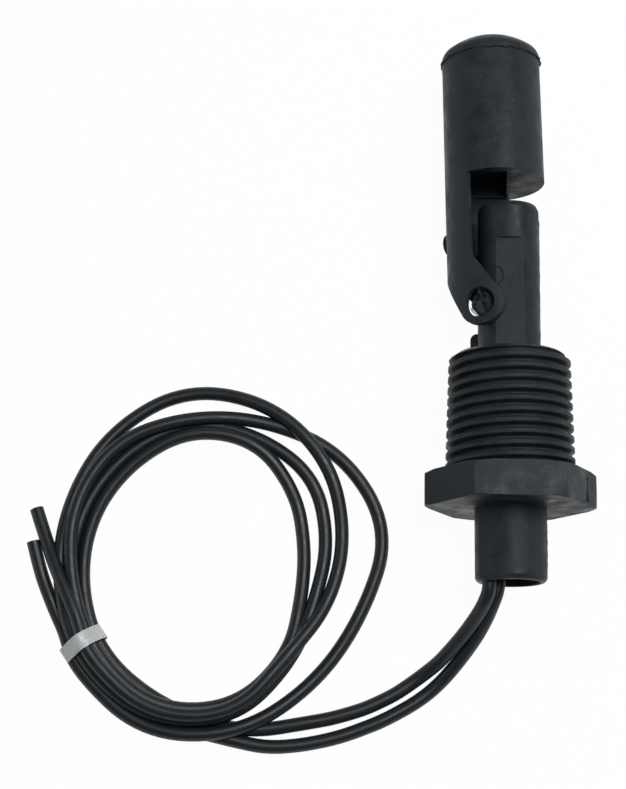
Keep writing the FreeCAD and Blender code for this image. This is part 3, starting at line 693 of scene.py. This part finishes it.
def coil_route(lead, turns, end):
    """A wire's route in metres: its lead, its turns in the coil's polar frame, and its cut end."""
    route = list(lead)
    for angle, radius, level in turns:
        turn = math.radians(angle)
        low = math.floor(level)
        high = min(low + 1, len(LEVELS) - 1)
        height = LEVELS[low] + (LEVELS[high] - LEVELS[low]) * (level - low)
        x = COIL_CENTRE[0] + radius * math.cos(turn)
        y = COIL_CENTRE[1] + radius * math.sin(turn)
        route.append((x, y, height))
    return [Vector(point) * MM for point in (*route, *end)]


def smooth_line(name, route, radius):
    """A round wire along one open NURBS spline."""
    curve = bpy.data.curves.new(name, "CURVE")
    curve.dimensions = "3D"
    spline = curve.splines.new("NURBS")
    spline.points.add(len(route) - 1)
    for point, place in zip(spline.points, route):
        point.co = (*place, 1)
    spline.order_u = 3
    spline.use_endpoint_u = True
    spline.resolution_u = 10
    curve.resolution_u = 10
    curve.bevel_depth = radius
    curve.bevel_resolution = 7
    curve.use_fill_caps = True
    piece = bpy.data.objects.new(name, curve)
    bpy.context.scene.collection.objects.link(piece)
    return piece


class LEVELSWITCH_OT_wires(bpy.types.Operator):
    """Both wires, from the potting through the coil to their cut ends"""

    bl_idname = "levelswitch.wires"
    bl_label = "Lay the wires"

    def execute(self, context):
        size = sizes()
        insulation = shared(wire_insulation, colours())
        tape = bpy.data.objects["tape_wrap"]
        for name, route, length, held in (
            ("wire_a", coil_route(LEAD_A, TURNS_A, END_A), size.wire_a_length, ()),
            ("wire_b", coil_route(LEAD_B, TURNS_B, END_B), size.wire_b_length, [tape]),
        ):
            nodes = (f"{name}_lead", f"{name}_end", "wire_coil")
            piece = smooth_line(name, route, size.wire_diameter / 2)
            finish(piece, insulation, "housing", replaces=nodes)
        return {"FINISHED"}


# Moulded body

STEM_RADIUS = 5.12
TAIL_RADIUS = 5.84
TAIL_END = -17.85
CUP_RADIUS = 4.6
# The hex: its trim at two corners, and how far it sits turned
FLANGE_TRIM = 13.94
FLANGE_TURN = 2.0
PIN_RADIUS = 2.27
# Along the pins: where each one is set back to, and where its torn gate ends on the whole
PIN_END = 6.3
GATE_END = 7.1
# The thread under the flange: where its first crest lies, its taper, and the bevel at its end
FIRST_CREST = 1.44
TAPER = 1 / 32
BEVEL_RADIUS = 8.75
BEVEL_SLOPE = 1.4
# The thread's last rows close inwards to the stem
CLOSING_ROOM = 5.0
CLOSED_RADIUS = 5.0


def shape_tree(name, sockets):
    """A geometry node tree that takes the named inputs of each type, and those inputs."""
    tree = bpy.data.node_groups.new(name, "GeometryNodeTree")
    tree.interface.new_socket("Geometry", in_out="OUTPUT", socket_type="NodeSocketGeometry")
    for kind, names in {**sockets, "Material": ["Material"]}.items():
        for socket in names:
            tree.interface.new_socket(socket, in_out="INPUT", socket_type=f"NodeSocket{kind}")
    return tree, add_node(tree, "NodeGroupInput").outputs


def end_shape(tree, shape, kind, settings, material):
    """Ends a geometry node tree in one last step, made real and given its material."""
    for step, inputs in (
        (kind, settings),
        ("GeometryNodeRealizeInstances", {}),
        ("GeometryNodeSetMaterial", {"Material": material}),
    ):
        shape = add_node(tree, step, inputs={"Geometry": shape, **inputs}).outputs[0]
    add_node(tree, "NodeGroupOutput", inputs={"Geometry": shape})
    return tree


def thread_tree():
    """Geometry nodes for a taper thread: a grid of angle and height, rolled up round the body's axis."""
    lengths = ("Length", "Pitch", "Root radius", "Depth", "Taper", "Start", "Bore", "End radius")
    tree, given = shape_tree("taper_thread", {"Float": lengths, "Int": ["Rows", "Columns"]})
    position = add_node(tree, "GeometryNodeInputPosition").outputs[0]
    place = add_node(tree, "ShaderNodeSeparateXYZ", inputs={0: position}).outputs
    profile = add_node(tree, "ShaderNodeFloatCurve")
    # The moulding sinks in the middle of each crest, which leaves two bright edges
    line = profile.mapping.curves[0]
    line.points[0].location = (0.0, 0.94)
    line.points[1].location = (1.0, 0.0)
    for across, rise in ((0.14, 0.96), (0.26, 1.0), (0.4, 0.9), (0.58, 0.52), (0.8, 0.1)):
        line.points.new(across, rise)
    profile.mapping.update()

    # Each step is named, and works on numbers and on what is named before it
    values = {name: given[name] for name in lengths}
    values.update({"X": place["X"], "Y": place["Y"], "profile": profile.outputs[0]})
    for name, operation, first, second in (
        # Along the axis, where the last rows stay at the thread's end
        ("whole", "ADD", "Length", CLOSING_ROOM * MM),
        ("half", "MULTIPLY", "whole", 0.5),
        ("run", "ADD", "Y", "half"),
        ("height", "MINIMUM", "run", "Length"),
        # Turns from the nearest crest, 0 on it and 1 in the root
        ("above the start", "SUBTRACT", "height", "Start"),
        ("turns", "DIVIDE", "above the start", "Pitch"),
        ("turned by", "DIVIDE", "X", 2 * math.pi),
        ("lead", "SUBTRACT", "turns", "turned by"),
        ("lead ahead", "ADD", "lead", 100.5),
        ("part of a turn", "FRACT", "lead ahead", 0.0),
        ("wrapped", "SUBTRACT", "part of a turn", 0.5),
        ("distance", "ABSOLUTE", "wrapped", 0.0),
        ("from crest", "MULTIPLY", "distance", 2.0),
        # Out to the thread's surface
        ("rise", "MULTIPLY", "profile", "Depth"),
        ("narrowing", "MULTIPLY", "height", "Taper"),
        ("root", "SUBTRACT", "Root radius", "narrowing"),
        ("thread", "ADD", "root", "rise"),
        # The last turns run out under a bevel at the end of the shank
        ("to the end", "SUBTRACT", "Length", "height"),
        ("widening", "MULTIPLY", "to the end", BEVEL_SLOPE),
        ("bevel", "ADD", "End radius", "widening"),
        ("outer", "MINIMUM", "thread", "bevel"),
        # Past the end the rows close inwards to the bore
        ("past the end", "SUBTRACT", "run", "height"),
        ("share", "DIVIDE", "past the end", CLOSING_ROOM * MM),
        ("to the bore", "SUBTRACT", "Bore", "outer"),
        ("inwards", "MULTIPLY", "to the bore", "share"),
        ("radius", "ADD", "outer", "inwards"),
        ("sine", "SINE", "X", 0.0),
        ("cosine", "COSINE", "X", 0.0),
        ("across", "MULTIPLY", "radius", "sine"),
        ("upwards", "MULTIPLY", "radius", "cosine"),
    ):
        inputs = {0: values.get(first, first), 1: values.get(second, second)}
        step = add_node(tree, "ShaderNodeMath", {"operation": operation}, inputs)
        values[name] = step.outputs[0]
    tree.links.new(values["from crest"], profile.inputs["Value"])

    inputs = {"Size X": 2 * math.pi, "Size Y": values["whole"]}
    inputs.update({"Vertices X": given["Columns"], "Vertices Y": given["Rows"]})
    grid = add_node(tree, "GeometryNodeMeshGrid", inputs=inputs).outputs["Mesh"]
    inputs = {"X": values["across"], "Y": values["height"], "Z": values["upwards"]}
    rolled = add_node(tree, "ShaderNodeCombineXYZ", inputs=inputs).outputs[0]
    shape = add_node(
        tree, "GeometryNodeSetPosition", inputs={"Geometry": grid, "Position": rolled}
    ).outputs[0]
    merged = {"Distance": 1e-6}
    return end_shape(tree, shape, "GeometryNodeMergeByDistance", merged, given["Material"])


def grow(name, tree, values):
    """An object whose mesh comes from a geometry node tree, made plain."""
    piece = bpy.data.objects.new(name, bpy.data.meshes.new(name))
    bpy.context.scene.collection.objects.link(piece)
    change = piece.modifiers.new(name, "NODES")
    change.node_group = tree
    for item in tree.interface.items_tree:
        if item.item_type == "SOCKET" and item.in_out == "INPUT" and item.name in values:
            change[item.identifier] = values[item.name]
    apply_modifiers(piece)
    if not piece.data.polygons:
        raise RuntimeError(f"{name} has no faces")
    return piece


def hex_flange():
    """The hex in two drafted halves that meet at its parting line, with its corners turned down."""
    soft = 0.12
    levels = ((-5.7, 24.7), (-2.95, 25.0), (-2.8, 25.0), (0.0, 24.72))
    points = []
    for along, flats in levels:
        middle = (flats / 2 - soft) / math.cos(math.radians(30))
        for number in range(6):
            corner = math.radians(30 + 60 * number)
            for step in range(5):
                lean = math.radians(60 * number + 60 * step / 4)
                x = middle * math.cos(corner) + soft * math.cos(lean)
                y = middle * math.sin(corner) + soft * math.sin(lean)
                points.append(switch_point(x, y, along))
    count = len(points) // len(levels)
    ends = [list(range(count)), list(range(len(points) - count, len(points)))]
    blank = new_object("flange", points, ends + ring_faces(len(levels), count))
    turning = [(0, -6.5), (13.2, -6.5), (13.2, -5.72), (14.6, -5.3), (14.6, -0.5), (13.0, 0.0)]
    turning += [(13.0, 0.3), (0, 0.3)]
    combine(blank, turned("flange_turning", turning, steps=240), "INTERSECT")
    # The mould's line runs through two corners, which are trimmed there, and the hex sits turned a little
    blank.data.transform(Matrix.Rotation(math.radians(FLANGE_TURN), 4, "Y"))
    trim = block("trim", (-FLANGE_TRIM, -7.0, -12.5), (FLANGE_TRIM, 1.0, 12.5))
    return combine(blank, trim, "INTERSECT")


def stem_and_tail():
    """Tail with its potting cup, and the stem, as two turned forms with a little draft."""
    outline = [(0, -5.0), (5.86, -5.0), (5.86, -6.0), *arc((4.92, -16.95), 0.9, 0, -90, 16)]
    outline += [(4.75, TAIL_END), (CUP_RADIUS, -17.7), (CUP_RADIUS, -14.5), (0, -14.5)]
    tail = turned("tail", outline)
    outline = [(0, 15.0), (5.2, 15.0), (STEM_RADIUS, 30.0), (5.06, 44.3), (4.95, 44.6), (4.7, 45.1)]
    stem = turned("stem", [*outline, (0, 45.1)])
    # A flat for the mould's slide, on the side that lies up
    flat = prism("flat", [(4.6, 19.0), (8.0, 19.0), (8.0, 38.7), (4.6, 38.7)], -3.0, 3.0)
    flat.data.transform(Matrix.Rotation(math.radians(-94), 4, "Y") @ LEVEL)
    return [tail, combine(stem, flat, "DIFFERENCE")]


def hinge_pins():
    """Both hinge pins, each set back in its hole and ending in a torn gate."""
    pins = []
    for side in (-1, 1):
        root = switch_point(PIVOT[0], 3.0 * side, PIVOT[1])
        end = switch_point(PIVOT[0], PIN_END * side, PIVOT[1])
        pins.append(combine(rod("pin", root, end, PIN_RADIUS * MM, 96), torn_gate(side), "UNION"))
    return pins


def torn_gate(side):
    """The stub where the gate broke off a hinge pin: a rough end on a thinner neck."""
    rings = 14
    steps = 64
    reach = 1.86
    points = []
    for ring in range(rings + 1):
        for cosine, sine in round_steps(steps):
            x = reach * ring / rings * cosine
            y = reach * ring / rings * sine
            torn = 1.5 * noise.noise(Vector((x * 0.8, y * 0.8, 4.0 + side)))
            torn += 0.3 * noise.noise(Vector((x * 2.0, y * 2.0, 9.0)))
            points.append(switch_point(PIVOT[0] + x, (GATE_END + torn) * side, PIVOT[1] + y))
    for cosine, sine in round_steps(steps):
        points.append(switch_point(PIVOT[0] + reach * cosine, 6.0 * side, PIVOT[1] + reach * sine))
    neck = [(rings + 1) * steps + step for step in range(steps)]
    return new_object("torn_gate", points, [*ring_faces(rings + 2, steps), neck])


def stop_lug():
    """The lug at the foot of the stem that the float's arm meets when it hangs fully open."""
    outline = [(4.2, 18.9), (6.37, 18.9)] + arc((5.37, 22.7), 1.0, 0, 90, 16) + [(4.2, 23.7)]
    return prism("lug", outline, -1.5, 1.5)


def witness_ring(name, angle, along, radius, body_radius):
    """The ring that an ejector pin leaves on a round moulding, as a fine raised line."""
    steps = 48
    sides = 8
    rib = 0.075
    points = []
    for turn_cosine, turn_sine in round_steps(steps):
        for cosine, sine in round_steps(sides):
            reach = radius + rib * cosine
            swing = math.radians(angle) + reach * turn_sine / body_radius
            out = body_radius + rib * 0.55 * sine
            place = (out * math.sin(swing), along + reach * turn_cosine, out * math.cos(swing))
            points.append(Vector(place) * MM)
    return new_object(name, points, ring_faces(steps, sides, loop=True))


def flash_line(name, path, width, seed):
    """A thin uneven ridge of flash along a mould's parting line, through points in millimetres."""
    points = []
    sides = 6
    steps = 60
    route = [Vector(point) for point in path]
    for step in range(steps + 1):
        share = step / steps * (len(route) - 1)
        number = min(int(share), len(route) - 2)
        place = route[number].lerp(route[number + 1], share - number)
        run = (route[number + 1] - route[number]).normalized()
        across = run.orthogonal().normalized()
        up = run.cross(across)
        wobble = noise.noise(Vector((step * 0.31, seed, 0.5)))
        size = width * (0.65 + 0.6 * wobble)
        taper = min(1.0, 8 * min(step, steps - step) / steps + 0.05)
        for cosine, sine in round_steps(sides):
            points.append((place + (across * cosine + up * sine) * size * taper) * MM)
    ends = [list(range(sides)), list(range(steps * sides, (steps + 1) * sides))]
    return new_object(name, points, ends + ring_faces(steps + 1, sides))


def on_cylinder(angle, radius, along):
    """A point on a cylinder round the body's axis, by its angle from upright towards +X, in millimetres."""
    turn = math.radians(angle)
    return (radius * math.sin(turn), along, radius * math.cos(turn))


def painted_glint_crescent(glint_paint):
    """A pale crescent at the foot of the upper pin, a painted highlight: it stands in for a glint on the
    hole's edge, drawn as a thin piece of pale plastic.
    """
    rim = ((2.2, 290), (2.22, 305), (2.24, 320), (2.22, 335), (2.2, 348))
    outline = []
    for radius, angle in (*rim, (1.75, 330), (1.75, 308)):
        turn = math.radians(angle)
        outline.append((PIVOT[0] + radius * math.cos(turn), PIVOT[1] + radius * math.sin(turn)))
    # The crescent is a painted highlight, set in the hole as a pale piece
    finish(prism("gate_chip", outline, 6.0, 7.3), glint_paint, "housing", 30)


class LEVELSWITCH_OT_body(bpy.types.Operator):
    """Moulded body: tail, hex flange, taper thread, stem, hinge pins and stop lug"""

    bl_idname = "levelswitch.body"
    bl_label = "Mould the body"

    def execute(self, context):
        size = sizes()
        plastic = shared(moulded_polypropylene, colours())
        thread_values = {
            "Length": size.thread_length,
            "Pitch": size.thread_pitch,
            "Root radius": size.thread_root,
            "Depth": size.thread_depth,
            "Taper": TAPER,
            "Start": FIRST_CREST * MM,
            "Bore": CLOSED_RADIUS * MM,
            "End radius": BEVEL_RADIUS * MM,
            "Rows": size.thread_rows,
            "Columns": size.thread_columns + 1,
            "Material": plastic,
        }
        thread = grow("thread", thread_tree(), thread_values)
        face_outwards(thread)
        finish(thread, plastic, "housing", 60)

        parts = [hex_flange(), *stem_and_tail(), *hinge_pins(), stop_lug()]
        for name, angle, along, radius, body_radius in (
            ("stem_mark", -33, 32.2, 1.65, STEM_RADIUS),
            ("tail_mark", -28, -12.1, 2.3, TAIL_RADIUS),
        ):
            parts.append(witness_ring(name, angle, along, radius, body_radius))
        stem_side = [on_cylinder(84, STEM_RADIUS, along) for along in (20, 27, 34, 41, 44.0)]
        tail_side = [on_cylinder(78, TAIL_RADIUS, along) for along in (-16.4, -12, -9, -5.9)]
        hex_side = [(12.0, along, 4.1) for along in (-5.4, -4.2, -2.8, -0.9)]
        for name, path, width, seed in (
            ("stem_flash", stem_side, 0.09, 1.0),
            ("tail_flash", tail_side, 0.09, 2.0),
            ("hex_flash", hex_side, 0.16, 3.0),
        ):
            parts.append(flash_line(name, path, width, seed))
        body = join("body_moulding", parts)
        finish(body, plastic, "housing", 8, replaces=("switch_body",))
        # A painted highlight: the pale crescent for the glint in the upper pin's hole
        painted_glint_crescent(shared(painted_glint_material))
        return {"FINISHED"}


# Float

FLOAT_AXIS = 1.8
FLOAT_BOTTOM = 49.8
SEAM = 71.5
MAGNET_HEIGHT = 40.54
EAR_HOLE = 2.48
# The float hangs open by this angle, turned about the hinge pins
LEAN_ANGLE = 1.6
LEAN = (
    Matrix.Translation(switch_point(PIVOT[0], 0, PIVOT[1]))
    @ Matrix.Rotation(math.radians(LEAN_ANGLE), 4, PIN)
    @ Matrix.Translation(-switch_point(PIVOT[0], 0, PIVOT[1]))
)


def arm_loss():
    """Outline of what the arm lacks, seen along the pin: flank, hollow, flare, round ear and back."""
    slope = math.radians(54.5)
    ear = 3.8
    flank = 2.9
    hollow = 3.0
    flare = Vector((math.cos(slope), math.sin(slope)))
    outward = Vector((-math.sin(slope), math.cos(slope)))
    pivot = Vector(PIVOT)
    ear_start = pivot + outward * ear
    sharp = ear_start + flare * ((flank - ear_start.x) / flare.x)
    setback = hollow * math.tan((math.pi / 2 - slope) / 2)
    centre = (flank - hollow, sharp.y + setback)
    back = Vector((11.13, 35.74))
    to_back = back - pivot
    leave = math.degrees(math.atan2(to_back.y, to_back.x) - math.acos(ear / to_back.length))
    slope_degrees = math.degrees(slope)
    outline = [(-20.0, FLOAT_BOTTOM), (flank, FLOAT_BOTTOM)]
    outline += arc(centre, hollow, 0, slope_degrees - 90, 10)
    outline += arc(PIVOT, ear, 90 + slope_degrees, 360 + leave, 72)
    return [*outline, tuple(back), (back.x, 18.0), (-20.0, 18.0)]


class LEVELSWITCH_OT_float(bpy.types.Operator):
    """Float: chamber, half-tube arm, hinge ears and magnet pocket"""

    bl_idname = "levelswitch.float"
    bl_label = "Mould the float"

    def execute(self, context):
        plastic = shared(moulded_polypropylene, colours())
        rim = arc((8.08, SEAM - 0.25), 0.2, 0, 60, 4)
        outside = [(0, 20.0), (8.42, 20.0), (8.36, 45.0), *rim, (8.0, SEAM), (0, SEAM)]
        shell = turned("float_shell", outside, FLOAT_AXIS, 200)
        # The arm is cut to its outline before it is hollowed: the other way round leaves its mesh open
        combine(shell, prism("loss", arm_loss(), -20, 20), "DIFFERENCE")
        inside = [(0, 18.0), (7.36, 18.0), (7.3, FLOAT_BOTTOM), (0, FLOAT_BOTTOM)]
        combine(shell, turned("hollow", inside, FLOAT_AXIS, 200), "DIFFERENCE")
        ends = [switch_point(PIVOT[0], pin, PIVOT[1]) for pin in (-12, 12)]
        combine(shell, rod("hole", *ends, EAR_HOLE * MM, 96), "DIFFERENCE")
        for name, low, high, radius, change in (
            ("boss", 5.47, 9.5, 2.8, "UNION"),
            ("pocket", 6.47, 12.0, 1.84, "DIFFERENCE"),
        ):
            ends = [switch_point(swing, 0, MAGNET_HEIGHT) for swing in (low, high)]
            combine(shell, rod(name, *ends, radius * MM), change)
        # A slot in the chamber's foot, dark in its depth
        slot = block("slot", (-5.6, 48.0, -7.3), (0.35, 52.9, 5.6), slant=-0.09)
        combine(shell, slot, "DIFFERENCE")
        edge = [switch_point(2.95, 7.3, along) / MM for along in (34.0, 38.0, 42.0, 46.0, 49.6)]
        shell = join("float_moulding", [shell, flash_line("arm_flash", edge, 0.09, 5.0)])
        shell.data.transform(LEAN)
        finish(shell, plastic, "float_arm", 8, replaces=("float",))
        return {"FINISHED"}


def bead_tree():
    """Geometry nodes for a weld bead: a circle pushed about by noise, and swept with a round section."""
    lengths = ("Radius", "Bead", "Unevenness", "Seed")
    tree, given = shape_tree("weld_bead", {"Float": lengths, "Vector": ["Centre"]})
    circles = []
    for steps, radius in ((200, given["Radius"]), (8, given["Bead"])):
        inputs = {"Resolution": steps, "Radius": radius}
        circle = add_node(tree, "GeometryNodeCurvePrimitiveCircle", inputs=inputs)
        circles.append(circle.outputs["Curve"])
    inputs = {"Geometry": circles[0], "Rotation": (math.radians(90), 0, 0)}
    upright = add_node(tree, "GeometryNodeTransform", inputs=inputs).outputs[0]
    place = add_node(tree, "GeometryNodeInputPosition").outputs[0]
    inputs = {"Vector": place, "W": given["Seed"], "Scale": 1300.0, "Detail": 3.0}
    rough = add_node(
        tree, "ShaderNodeTexNoise", {"noise_dimensions": "4D"}, inputs
    ).outputs["Color"]
    middle = add_node(
        tree, "ShaderNodeVectorMath", {"operation": "SUBTRACT"}, {0: rough, 1: (0.5, 0.5, 0.5)}
    ).outputs[0]
    scaled = add_node(
        tree, "ShaderNodeVectorMath", {"operation": "SCALE"}, {0: middle, "Scale": given["Unevenness"]}
    ).outputs[0]
    uneven = add_node(
        tree, "GeometryNodeSetPosition", inputs={"Geometry": upright, "Offset": scaled}
    ).outputs[0]
    shape = add_node(
        tree, "GeometryNodeCurveToMesh", inputs={"Curve": uneven, "Profile Curve": circles[1]}
    ).outputs[0]
    moved = {"Translation": given["Centre"]}
    return end_shape(tree, shape, "GeometryNodeTransform", moved, given["Material"])


class LEVELSWITCH_OT_cap(bpy.types.Operator):
    """Domed cap, the bead where it is welded on, and the plug behind the magnet"""

    bl_idname = "levelswitch.cap"
    bl_label = "Weld the cap"

    def execute(self, context):
        plastic = shared(moulded_polypropylene, colours())
        # An upright edge above the seam, a rounded shoulder, and then a part of a ball
        ball = 12.0
        edge = 8.35
        shoulder = 2.0
        centre = SEAM + 1.2 - math.sqrt(ball**2 - edge**2)
        dome = [(0, SEAM - 0.4), (8.1, SEAM - 0.4), (edge, SEAM - 0.05)]
        dome += arc((edge - shoulder, SEAM + 0.35), shoulder, 0, 42, 9)
        for step in range(6, 19):
            radius = edge * math.cos(math.radians(5 * step))
            dome.append((radius, centre + math.sqrt(ball**2 - radius**2)))
        cap = turned("cap_moulding", dome, FLOAT_AXIS, 200)
        bead_values = {
            "Radius": 8.38 * MM,
            "Bead": 0.2 * MM,
            "Unevenness": 0.85 * MM,
            "Seed": 4.0,
            "Centre": switch_point(FLOAT_AXIS, 0, SEAM),
            "Material": plastic,
        }
        bead = grow("weld_bead", bead_tree(), bead_values)
        plug_edge = arc((1.6, 10.75), 0.2, 0, 90, 4)
        plug = turned_across("plug_moulding", [(0, 9.1), (1.8, 9.1), *plug_edge, (0, 10.95)])
        for piece, angle, nodes in (
            (cap, 32, ("float_cap",)),
            (bead, 60, ()),
            (plug, 32, ("magnet_plug",)),
        ):
            piece.data.transform(LEAN)
            finish(piece, plastic, "float_arm", angle, replaces=nodes)
        return {"FINISHED"}


def turned_across(name, profile, steps=72):
    """A turned solid whose axis runs towards the swing side at the magnet's height."""
    points = []
    for radius, out in profile:
        for cosine, sine in round_steps(steps):
            points.append(switch_point(out, radius * cosine, MAGNET_HEIGHT + radius * sine))
    return new_object(name, points, ring_faces(len(profile), steps))


# Potting and tape

# Where each wire leaves the potting, in X and Z
EXITS = ((-3.45, 1.0), (-1.9, -1.1))
POUR_RADIUS = 4.58
POUR_LEVEL = -16.6
POUR_FOOT = -14.7


class LEVELSWITCH_OT_potting(bpy.types.Operator):
    """Cast resin in the tail, climbing round the wires"""

    bl_idname = "levelswitch.potting"
    bl_label = "Pour the potting"

    def execute(self, context):
        resin = shared(cast_potting, colours())
        rings = 26
        steps = 96
        points = []
        for ring in range(rings + 1):
            radius = POUR_RADIUS * ring / rings
            for cosine, sine in round_steps(steps):
                x = radius * sine
                z = radius * cosine
                climb = 0.0
                for exit_x, exit_z in EXITS:
                    away = math.hypot(x - exit_x, z - exit_z)
                    climb = max(climb, 0.45 * math.exp(-max(0.0, away - 1.05) / 0.5))
                lumps = noise.noise(Vector((x * 0.55, z * 0.55, 3.0)))
                rim = 0.22 * (ring / rings) ** 6
                points.append(Vector((x, POUR_LEVEL - climb - rim - 0.28 * lumps, z)) * MM)
        for cosine, sine in round_steps(steps):
            points.append(Vector((POUR_RADIUS * sine, POUR_FOOT, POUR_RADIUS * cosine)) * MM)
        foot = [(rings + 1) * steps + step for step in range(steps)]
        potting = new_object("potting_pour", points, [*ring_faces(rings + 2, steps), foot])
        finish(potting, resin, "housing", 70, replaces=("potting",))
        return {"FINISHED"}


class LEVELSWITCH_OT_tape(bpy.types.Operator):
    """Tape band wound once round the coil"""

    bl_idname = "levelswitch.tape"
    bl_label = "Wrap the tape"

    def execute(self, context):
        tape = shared(frosted_tape, colours())
        width = sizes().tape_width / MM
        turn = math.radians(TAPE_ANGLE)
        out = Vector((math.cos(turn), math.sin(turn), 0))
        side = Vector((-math.sin(turn), math.cos(turn), 0))
        centre = Vector((*COIL_CENTRE, 0))
        count = len(TAPE_LOOP)
        points = []
        cuts = 9
        for cut in range(cuts):
            share = cut / (cuts - 1) - 0.5
            for number, (radius, height) in enumerate(TAPE_LOOP):
                crease = 0.07 * noise.noise(Vector((number * 0.9, share * 5, 7.0)))
                lift = crease if height > TAPE_LOW + 2 else 0.0
                lean = 0.35 * share * noise.noise(Vector((number * 0.5, 2.0, 1.0)))
                place = centre + out * (radius + crease * 0.5) + side * width * (share + 0.04 * lean)
                points.append((place + Vector((0, 0, height + lift))) * MM)
        band = new_object("tape_wrap", points, ring_faces(cuts, count))
        wall = band.modifiers.new("wall", "SOLIDIFY")
        wall.thickness = 0.06 * MM
        wall.offset = -1
        smooth = band.modifiers.new("smooth", "SUBSURF")
        smooth.levels = 2
        smooth.render_levels = 2
        apply_modifiers(band)
        finish(band, tape, "housing", 60, replaces=("tape_band",))
        return {"FINISHED"}


# Hidden parts keep their own shapes


class LEVELSWITCH_OT_inner_parts(bpy.types.Operator):
    """Finishes of the magnet, reed switch, joints and conductors"""

    bl_idname = "levelswitch.inner_parts"
    bl_label = "Finish the inner parts"

    def execute(self, context):
        glass = sealed_glass()
        tinned = drawn_metal("tinned_nickel_iron", "b9b8b2", 0.3)
        copper = drawn_metal("drawn_copper", "b87a4b", 0.32)
        ground = drawn_metal("ground_nickel_plate", "a9a8a4", 0.28)
        sleeve = shrunk_sleeve()
        nodes = {piece["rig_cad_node"]: piece for piece in bpy.data.objects if "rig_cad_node" in piece}
        for material, names in (
            (glass, ("reed_glass",)),
            (tinned, ("reed_blade_front", "reed_blade_back")),
            (tinned, ("solder_joint_front", "solder_joint_back")),
            (sleeve, ("shrink_sleeve_front", "shrink_sleeve_back")),
            (copper, ("conductor_a", "conductor_b")),
            (ground, ("magnet",)),
        ):
            for name in names:
                for holder in nodes[name].material_slots:
                    holder.material = material
        return {"FINISHED"}


class LEVELSWITCH_PT_panel(bpy.types.Panel):
    """Buttons for each piece of the switch"""

    bl_idname = "LEVELSWITCH_PT_panel"
    bl_label = "Level switch"
    bl_space_type = "VIEW_3D"
    bl_region_type = "UI"
    bl_category = "Level switch"

    def draw(self, context):
        layout = self.layout
        for group in (context.scene.level_switch_sizes, context.scene.level_switch_colours):
            column = layout.column()
            for name in group.__annotations__:
                column.prop(group, name)
        for operator in OPERATORS:
            layout.operator(operator.bl_idname)


OPERATORS = (
    LEVELSWITCH_OT_stage,
    LEVELSWITCH_OT_tape,
    LEVELSWITCH_OT_wires,
    LEVELSWITCH_OT_body,
    LEVELSWITCH_OT_float,
    LEVELSWITCH_OT_cap,
    LEVELSWITCH_OT_potting,
    LEVELSWITCH_OT_inner_parts,
)
CLASSES = (SwitchSizes, SwitchColours, *OPERATORS, LEVELSWITCH_PT_panel)


def register():
    for item in CLASSES:
        bpy.utils.register_class(item)
    bpy.types.Scene.level_switch_sizes = PointerProperty(type=SwitchSizes)
    bpy.types.Scene.level_switch_colours = PointerProperty(type=SwitchColours)


def unregister():
    del bpy.types.Scene.level_switch_colours
    del bpy.types.Scene.level_switch_sizes
    for item in reversed(CLASSES):
        bpy.utils.unregister_class(item)


def main():
    register()
    for operator in OPERATORS:
        group, name = operator.bl_idname.split(".")
        getattr(getattr(bpy.ops, group), name)()


if __name__ == "__main__":
    main()
